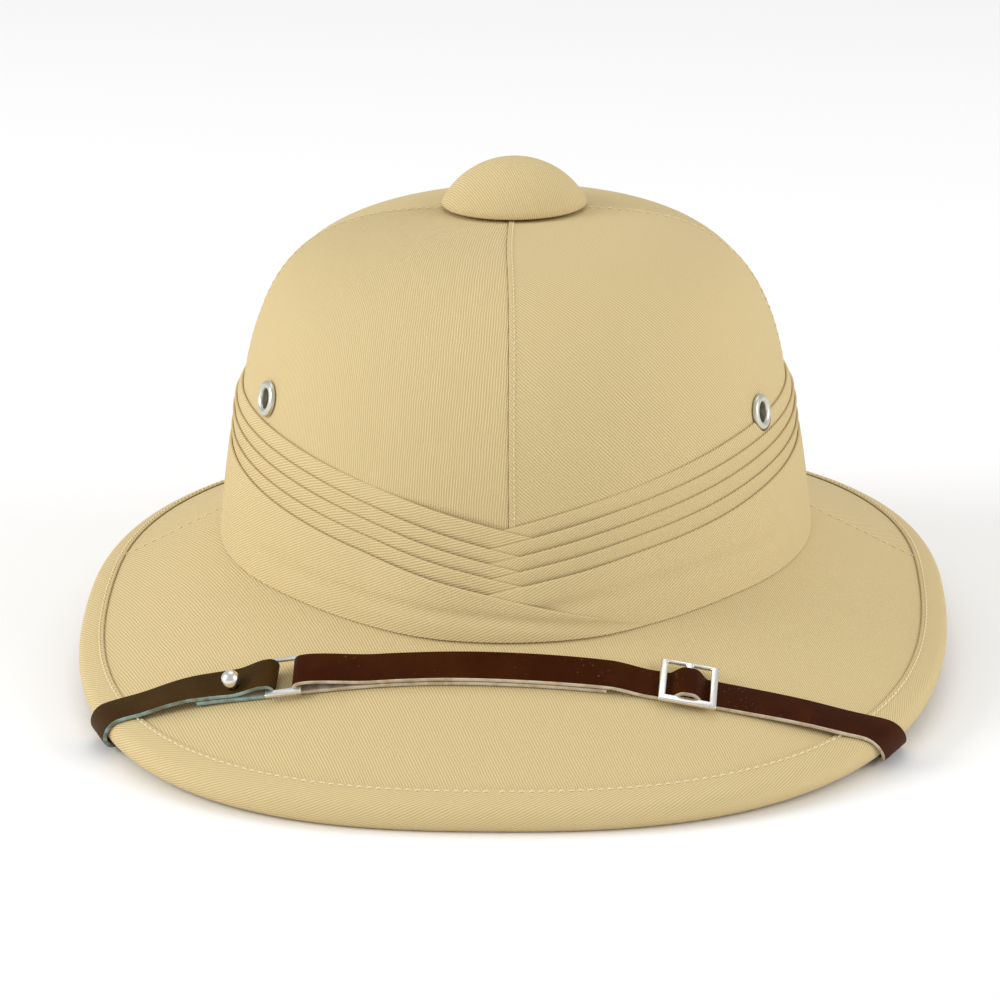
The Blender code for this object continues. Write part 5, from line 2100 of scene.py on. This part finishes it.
@dataclass(frozen=True)
class Fittings:
    """Metal parts of the strap: loop, slider, stud and the two rivets."""

    metal: float = 1.5 * MM
    rounding: float = 0.5 * MM
    bevel_steps: int = 4
    bevel_from: float = 1.0
    flat_within: float = 0.001
    loop_x: float = -70.0 * MM
    loop_length: float = 12.4 * MM
    loop_height: float = 17.0 * MM
    loop_side_bar: float = 1.6 * MM
    loop_end_bar: float = 1.4 * MM
    loop_front_bar: float = 2.5 * MM
    slider_x: float = 59.6 * MM
    slider_length: float = 19.2 * MM
    slider_height: float = 19.8 * MM
    slider_aside: float = 1.0 * MM
    slider_bar: float = 2.4 * MM
    slider_end_bar: float = 1.2 * MM
    slider_front_bar: float = 2.6 * MM
    slider_middle_bar: float = 2.2 * MM
    stud_x: float = -86.4 * MM
    stud_ball: float = 3.1 * MM
    stud_stem: float = 1.4 * MM
    stud_depth: float = 3.8 * MM
    stud_aside: float = 2.6 * MM
    stud_neck: float = math.radians(-58)
    stud_arcs: int = 16
    rivet_head: float = 3.6 * MM
    rivet_thickness: float = 1.0 * MM
    rivet_stem: float = 1.6 * MM
    rivet_depth: float = 3.0 * MM
    rivet_arcs: int = 9
    clearance: float = 0.4 * MM
    segments: int = 40

    def loop_bar(self, side: Side) -> float:
        """Plan position of a side bar of the loop."""
        return self.loop_x + side.value * ((self.loop_length - self.loop_side_bar) / 2)

    def over_slider(self, x: float) -> float:
        """Extra lift of the strap where it rises over the slider's middle bar.

        Args:
            x: Plan position.

        Returns:
            The lift.
        """
        half = self.slider_middle_bar / 2
        share = (abs(x - self.slider_x) - half - GAP) / (self.slider_length / 2 - self.slider_bar - half - 4 * GAP)
        return (self.metal + 2 * GAP + STRAP.thickness) * (1 - float(smooth(share)))

    def frame(self, name: str, columns: tuple[float, ...], rows: tuple[float, ...], windows: set[tuple[int, int]],
              x: float, lift: float, aside: float, metal: Material) -> None:
        """A flat metal frame with rounded bars, which stands for the node strap_NAME.

        Args:
            name: Name of the piece.
            columns: Cell edges along the strap.
            rows: Cell edges across it.
            windows: Cells left open.
            x: Place along the strap.
            lift: Lift of its middle.
            aside: Shift towards the crown.
            metal: Its metal.
        """
        draft = bmesh.new()
        grid = [[draft.verts.new((a, b, -self.metal / 2)) for a in columns] for b in rows]
        for j in range(len(rows) - 1):
            for i in range(len(columns) - 1):
                if (i, j) not in windows:
                    draft.faces.new((grid[j][i], grid[j][i + 1], grid[j + 1][i + 1], grid[j + 1][i]))
        raised = bmesh.ops.extrude_face_region(draft, geom=draft.faces[:])
        lifted = [item for item in raised["geom"] if isinstance(item, bmesh.types.BMVert)]
        bmesh.ops.translate(draft, verts=lifted, vec=(0, 0, self.metal))
        bmesh.ops.recalc_face_normals(draft, faces=draft.faces[:])
        draft.normal_update()
        edges = [edge for edge in draft.edges if edge.calc_face_angle(0.0) > self.bevel_from]
        bmesh.ops.bevel(
            draft, geom=edges, offset=self.rounding, segments=self.bevel_steps, profile=0.5, affect="EDGES")
        bmesh.ops.dissolve_limit(draft, angle_limit=self.flat_within, verts=draft.verts, edges=draft.edges)
        _, run, across, normal = STRAP.frame(x)
        middle = STRAP.point(x, lift).middle - across * aside
        draft.transform(Matrix.Translation(middle) @ Matrix((run, across, normal)).transposed().to_4x4())
        mesh = bpy.data.meshes.new(name)
        draft.to_mesh(mesh)
        draft.free()
        MAKER.finish_piece(mesh, [metal], Slot.NICKEL, ("strap_" + name,))

    def build_loop(self, metal: Material) -> None:
        """Makes the loop that joins the two pieces of the strap.

        Args:
            metal: Its metal.
        """
        half, tall = self.loop_length / 2, self.loop_height / 2
        columns = (-half, self.loop_side_bar - half, half - self.loop_side_bar, half)
        rows = (-tall, self.loop_end_bar - tall, tall - self.loop_front_bar, tall)
        self.frame("loop", columns, rows, {(1, 1)}, self.loop_x, STRAP.loop_lift, 0.0, metal)

    def build_slider(self, metal: Material) -> None:
        """Makes the slider, whose middle bar lies under the strap.

        Args:
            metal: Its metal.
        """
        half, tall, bar = self.slider_length / 2, self.slider_height / 2, self.slider_middle_bar / 2
        columns = (-half, self.slider_bar - half, -bar, bar, half - self.slider_bar, half)
        rows = (-tall, self.slider_end_bar - tall, tall - self.slider_front_bar, tall)
        lift = STRAP.low + STRAP.thickness / 2 + GAP + self.metal / 2
        self.frame("slider", columns, rows, {(1, 1), (3, 1)}, self.slider_x, lift, self.slider_aside, metal)

    def build_stud(self, strap: Object, metal: Material) -> None:
        """Makes the ball stud that buttons the folded end of the strap.

        Args:
            strap: Piece that it goes through.
            metal: Its metal.
        """
        neck = self.stud_ball - math.sqrt(self.stud_ball ** 2 - self.stud_stem ** 2)
        profile = [(0.0, -self.stud_depth), (self.stud_stem, -self.stud_depth), (self.stud_stem, neck)]
        for angle in np.linspace(self.stud_neck, math.pi / 2, self.stud_arcs)[:-1]:
            profile.append((self.stud_ball * math.cos(angle), self.stud_ball * (1 + math.sin(angle))))
        profile.append((0.0, 2 * self.stud_ball))
        station = STRAP.point(self.stud_x, STRAP.low + STRAP.thickness * 1.5 + 2 * GAP)
        seat = station.middle + station.rung * self.stud_aside
        normal = STRAP.frame(self.stud_x)[3]
        MAKER.turned("stud", profile, aimed(seat, normal), self.segments, metal, Slot.NICKEL, ("strap_stud",))
        MAKER.drill(strap, seat, normal, self.stud_stem + self.clearance, 4 * self.stud_depth)

    def build_rivets(self, shell: Object, straps: dict[Side, Object], metal: Material) -> None:
        """Makes the rivets that hold the ends of the strap to the underside of the brim.

        Args:
            shell: The pith shell.
            straps: The two pieces of the strap.
            metal: Their metal.
        """
        stack = STRAP.thickness + 2 * GAP + STRAP.under_clearance
        depth = stack + self.rivet_depth
        profile = [(0.0, -depth), (self.rivet_stem, -depth), (self.rivet_stem, 0.0), (self.rivet_head, 0.0)]
        for angle in np.linspace(0, math.pi / 2, self.rivet_arcs)[1:-1]:
            profile.append((self.rivet_head * math.cos(angle), self.rivet_thickness * math.sin(angle)))
        profile.append((0.0, self.rivet_thickness))
        for side in Side:
            x = side.value * STRAP.anchor
            normal = -FORM.brim_normal(x, 0)
            under = FORM.brim_skin(x, 0) + normal * (FORM.brim_wall + stack)
            name = side.name.lower()
            MAKER.turned(f"rivet_{name}", profile, aimed(under, normal), self.segments, metal, Slot.NICKEL,
                         (f"strap_rivet_{name}_side",))
            for piece in (straps[side], shell):
                MAKER.drill(piece, under, normal, self.rivet_stem + self.clearance, 2 * (depth + GAP))


FITTINGS = Fittings()


class LeatherFace(Enum):
    """Faces of the strap, as the place of each one's material."""

    GRAIN = 0
    CUT = 1
    FLESH = 2


@dataclass(frozen=True)
class ChinStrap:
    """One of the two pieces of the strap: folded round the loop, over the rim and under the brim to its rivet."""

    side: Side
    under_end: float
    descent: float
    step_down: float

    @property
    def bar(self) -> float:
        """Plan position of the loop's bar that the piece is folded round."""
        return FITTINGS.loop_bar(self.side)

    def top_lift(self, x: float) -> float:
        """Lift of the upper run: down from the loop, over the folded end, then down to the brim.

        Args:
            x: Plan position.

        Returns:
            Lift of the strap's middle.
        """
        high = STRAP.loop_lift + STRAP.loop_turn
        settled = high + (STRAP.doubled - high) * float(smooth(abs(x - self.bar) / self.descent))
        past = (x - self.under_end) * self.side.value
        single = (STRAP.thickness + GAP) * float(smooth(past / self.step_down))
        return settled - single + (FITTINGS.over_slider(x) if self.side is Side.RIGHT else 0.0)

    def stations(self) -> list[Station]:
        """The strap from its folded end to its anchor.

        Returns:
            Its stations.
        """
        sign = self.side.value
        under = STRAP.stretch(self.under_end, self.bar, lambda x: STRAP.low)
        turn = STRAP.turn_round(self.bar, -sign)
        start = self.bar + sign * STRAP.spacing
        finish = STRAP.wrap_start(self.side) - sign * STRAP.spacing
        if self.side is Side.RIGHT:
            enter, leave = (FITTINGS.slider_x + end * FITTINGS.slider_length / 2 for end in (-1, 1))
            over = STRAP.stretch(start, enter, self.top_lift)[:-1]
            over += STRAP.stretch(enter, leave, self.top_lift, STRAP.hump_spacing)
            over += STRAP.stretch(leave, finish, self.top_lift)[1:]
        else:
            over = STRAP.stretch(start, finish, self.top_lift)
        wrap = STRAP.wrap(self.side)
        return under[:-1] + turn + STRAP.lean(over, self.side) + wrap + STRAP.under(self.side, wrap)

    def build(self, materials: list[Material], slot: Slot) -> Object:
        """Makes the piece.

        Args:
            materials: Grain side, cut edge and flesh side.
            slot: Material slot.

        Returns:
            The strap piece.
        """
        stations = self.stations()
        rings = []
        for index, station in enumerate(stations):
            before = stations[max(index - 1, 0)].middle
            after = stations[min(index + 1, len(stations) - 1)].middle
            face = (after - before).cross(station.rung).normalized() * -self.side.value
            rings.append(STRAP.ring(station, face))
        grid = np.array(rings)
        indices = np.full(grid.shape[1], LeatherFace.CUT.value)
        indices[2:5] = LeatherFace.GRAIN.value
        indices[10:13] = LeatherFace.FLESH.value
        name = f"strap_{self.side.name.lower()}"
        closed = np.concatenate([grid, grid[:, :1]], axis=1)
        mesh = MAKER.loft(name, grid, cloth_coordinates(closed, shared=True), False, indices)
        return MAKER.finish_piece(mesh, materials, slot, (f"chin_{name}_side",))


# ---------------------------------------------------------------- studio

@dataclass(frozen=True)
class SoftBox:
    """A square lamp aimed at the helmet."""

    name: str
    place: tuple[float, float, float]
    size: float
    power: float
    aim: tuple[float, float, float] = (0.0, 0.0, 0.08)

    def build(self) -> None:
        """Makes the lamp."""
        light = bpy.data.lights.new(self.name, "AREA")
        light.size = self.size
        light.energy = self.power
        lamp = add_object(self.name, light)
        lamp.location = self.place
        lamp.rotation_euler = (Vector(self.aim) - lamp.location).to_track_quat("-Z", "Y").to_euler()


@dataclass(frozen=True)
class Studio:
    """Floor, world, lamps and the camera at the photo's angle."""

    floor_size: float = 6.0
    floor_colour: Colour = (0.97, 0.97, 0.97)
    world_strength: float = 0.63
    lamps: tuple[SoftBox, ...] = (
        SoftBox("key", (-2.3, -0.7, 1.15), 1.3, 38.0),
        SoftBox("top", (0.0, 0.7, 2.4), 1.6, 9.0),
        SoftBox("fill", (2.2, -0.8, 1.0), 1.6, 25.0),
    )
    sensor: float = 36.0
    lens: float = 145.83
    camera_place: tuple[float, float, float] = (0.049347, -1.37502, 0.436661)
    yaw: float = math.radians(2.28940)
    pitch: float = math.radians(17.35079)
    roll: float = math.radians(-0.60977)

    def build_floor(self) -> None:
        """Lays a pale plain floor."""
        half = self.floor_size / 2
        corners = [(-half, -half, 0), (half, -half, 0), (half, half, 0), (-half, half, 0)]
        mesh = bpy.data.meshes.new("floor")
        mesh.from_pydata(corners, [], [(0, 1, 2, 3)])
        material = bpy.data.materials.new("floor paper")
        material.use_nodes = True
        Wiring(material.node_tree).feed(material.node_tree.nodes["Principled BSDF"], Roughness=1.0,
                                        Base_Color=(*self.floor_colour, 1.0), Specular_IOR_Level=0.0)
        mesh.materials.append(material)
        floor = add_object("floor", mesh)

    def build_world(self) -> None:
        """Lights the surroundings white."""
        world = bpy.data.worlds.new("studio")
        world.use_nodes = True
        Wiring(world.node_tree).feed(world.node_tree.nodes["Background"], Color=(1.0, 1.0, 1.0, 1.0),
                                     Strength=self.world_strength)
        bpy.context.scene.world = world

    def build_camera(self) -> None:
        """Places the camera in the helmet's own frame."""
        forward = Vector((-math.sin(self.yaw) * math.cos(self.pitch), math.cos(self.yaw) * math.cos(self.pitch),
                          -math.sin(self.pitch)))
        right = Vector((math.cos(self.yaw), math.sin(self.yaw), 0))
        upward = right.cross(forward)
        level = math.cos(self.roll) * right + math.sin(self.roll) * upward
        raised = math.cos(self.roll) * upward - math.sin(self.roll) * right
        pose = Matrix((level, raised, -forward)).transposed().to_4x4()
        pose.translation = Vector(self.camera_place)
        settings = bpy.data.cameras.new("camera")
        settings.sensor_width = self.sensor
        settings.lens = self.lens
        settings.clip_start = 0.01
        camera = add_object("camera", settings)
        camera.matrix_world = FORM.rest @ pose
        bpy.context.scene.camera = camera

    def build(self) -> None:
        """Sets up the studio."""
        self.build_floor()
        self.build_world()
        for lamp in self.lamps:
            lamp.build()
        self.build_camera()
        bpy.context.scene.view_settings.view_transform = "Standard"


# ---------------------------------------------------------------- main


def main() -> None:
    """Builds the helmet piece by piece and sets up its studio."""
    thread = ThreadFinish().build()
    nickel = NickelFinish("nickel").build()
    shell = Shell().build(PithFinish().build())
    LOG.info("pith shell: %d faces", len(shell.data.polygons))
    crown = CrownCloth().build(thread)
    LOG.info("crown cloth: %s", ", ".join(crown))
    BrimCloth().build(thread)
    BINDING.build(thread)
    LOG.info("brim cloth and binding")
    bands = Pugaree().build(crown)
    LOG.info("pugaree: %d bands", len(bands))
    TopButton().build()
    drilled = {Side.LEFT: [shell, crown["front_left_side"]], Side.RIGHT: [shell, crown["front_right_side"]]}
    VentEyelets().build(NickelFinish("dull nickel", (0.66, 0.65, 0.57), 0.32).build(), drilled, bands[0])
    LOG.info("button and eyelets")
    grey = [
        # Painted sheen: this piece is the same brown leather as the other. Its worn patches are wear, but the paler,
        # greyer cast of both its colours stands for the sheen that it shows.
        LeatherFinish("brown leather with painted sheen", (0.040, 0.019, 0.003), (0.068, 0.036, 0.010), 0.50, 0.35).build(),
        CutFinish("teal cut edge", (0.27, 0.40, 0.37), (0.16, 0.16, 0.11)).build(),
        CutFinish("grey flesh side", (0.30, 0.27, 0.20), (0.16, 0.13, 0.09)).build(),
    ]
    brown = [
        LeatherFinish("red brown leather", (0.034, 0.006, 0.0005), (0.062, 0.016, 0.003), 0.46, 0.5).build(),
        CutFinish("beige cut edge", (0.62, 0.55, 0.41), (0.44, 0.34, 0.22)).build(),
        CutFinish("beige flesh side", (0.42, 0.36, 0.27), (0.24, 0.17, 0.11)).build(),
    ]
    straps = {
        Side.LEFT: ChinStrap(Side.LEFT, -99.0 * MM, 12.0 * MM, 22.0 * MM).build(grey, Slot.GREY_LEATHER),
        Side.RIGHT: ChinStrap(Side.RIGHT, 34.0 * MM, 24.0 * MM, 14.5 * MM).build(brown, Slot.BROWN_LEATHER),
    }
    FITTINGS.build_loop(nickel)
    FITTINGS.build_slider(nickel)
    FITTINGS.build_stud(straps[Side.LEFT], nickel)
    FITTINGS.build_rivets(shell, straps, nickel)
    LOG.info("chin strap and fittings")
    Studio().build()


if __name__ == "__main__":
    logging.basicConfig(level=logging.INFO, format="%(message)s")
    main()
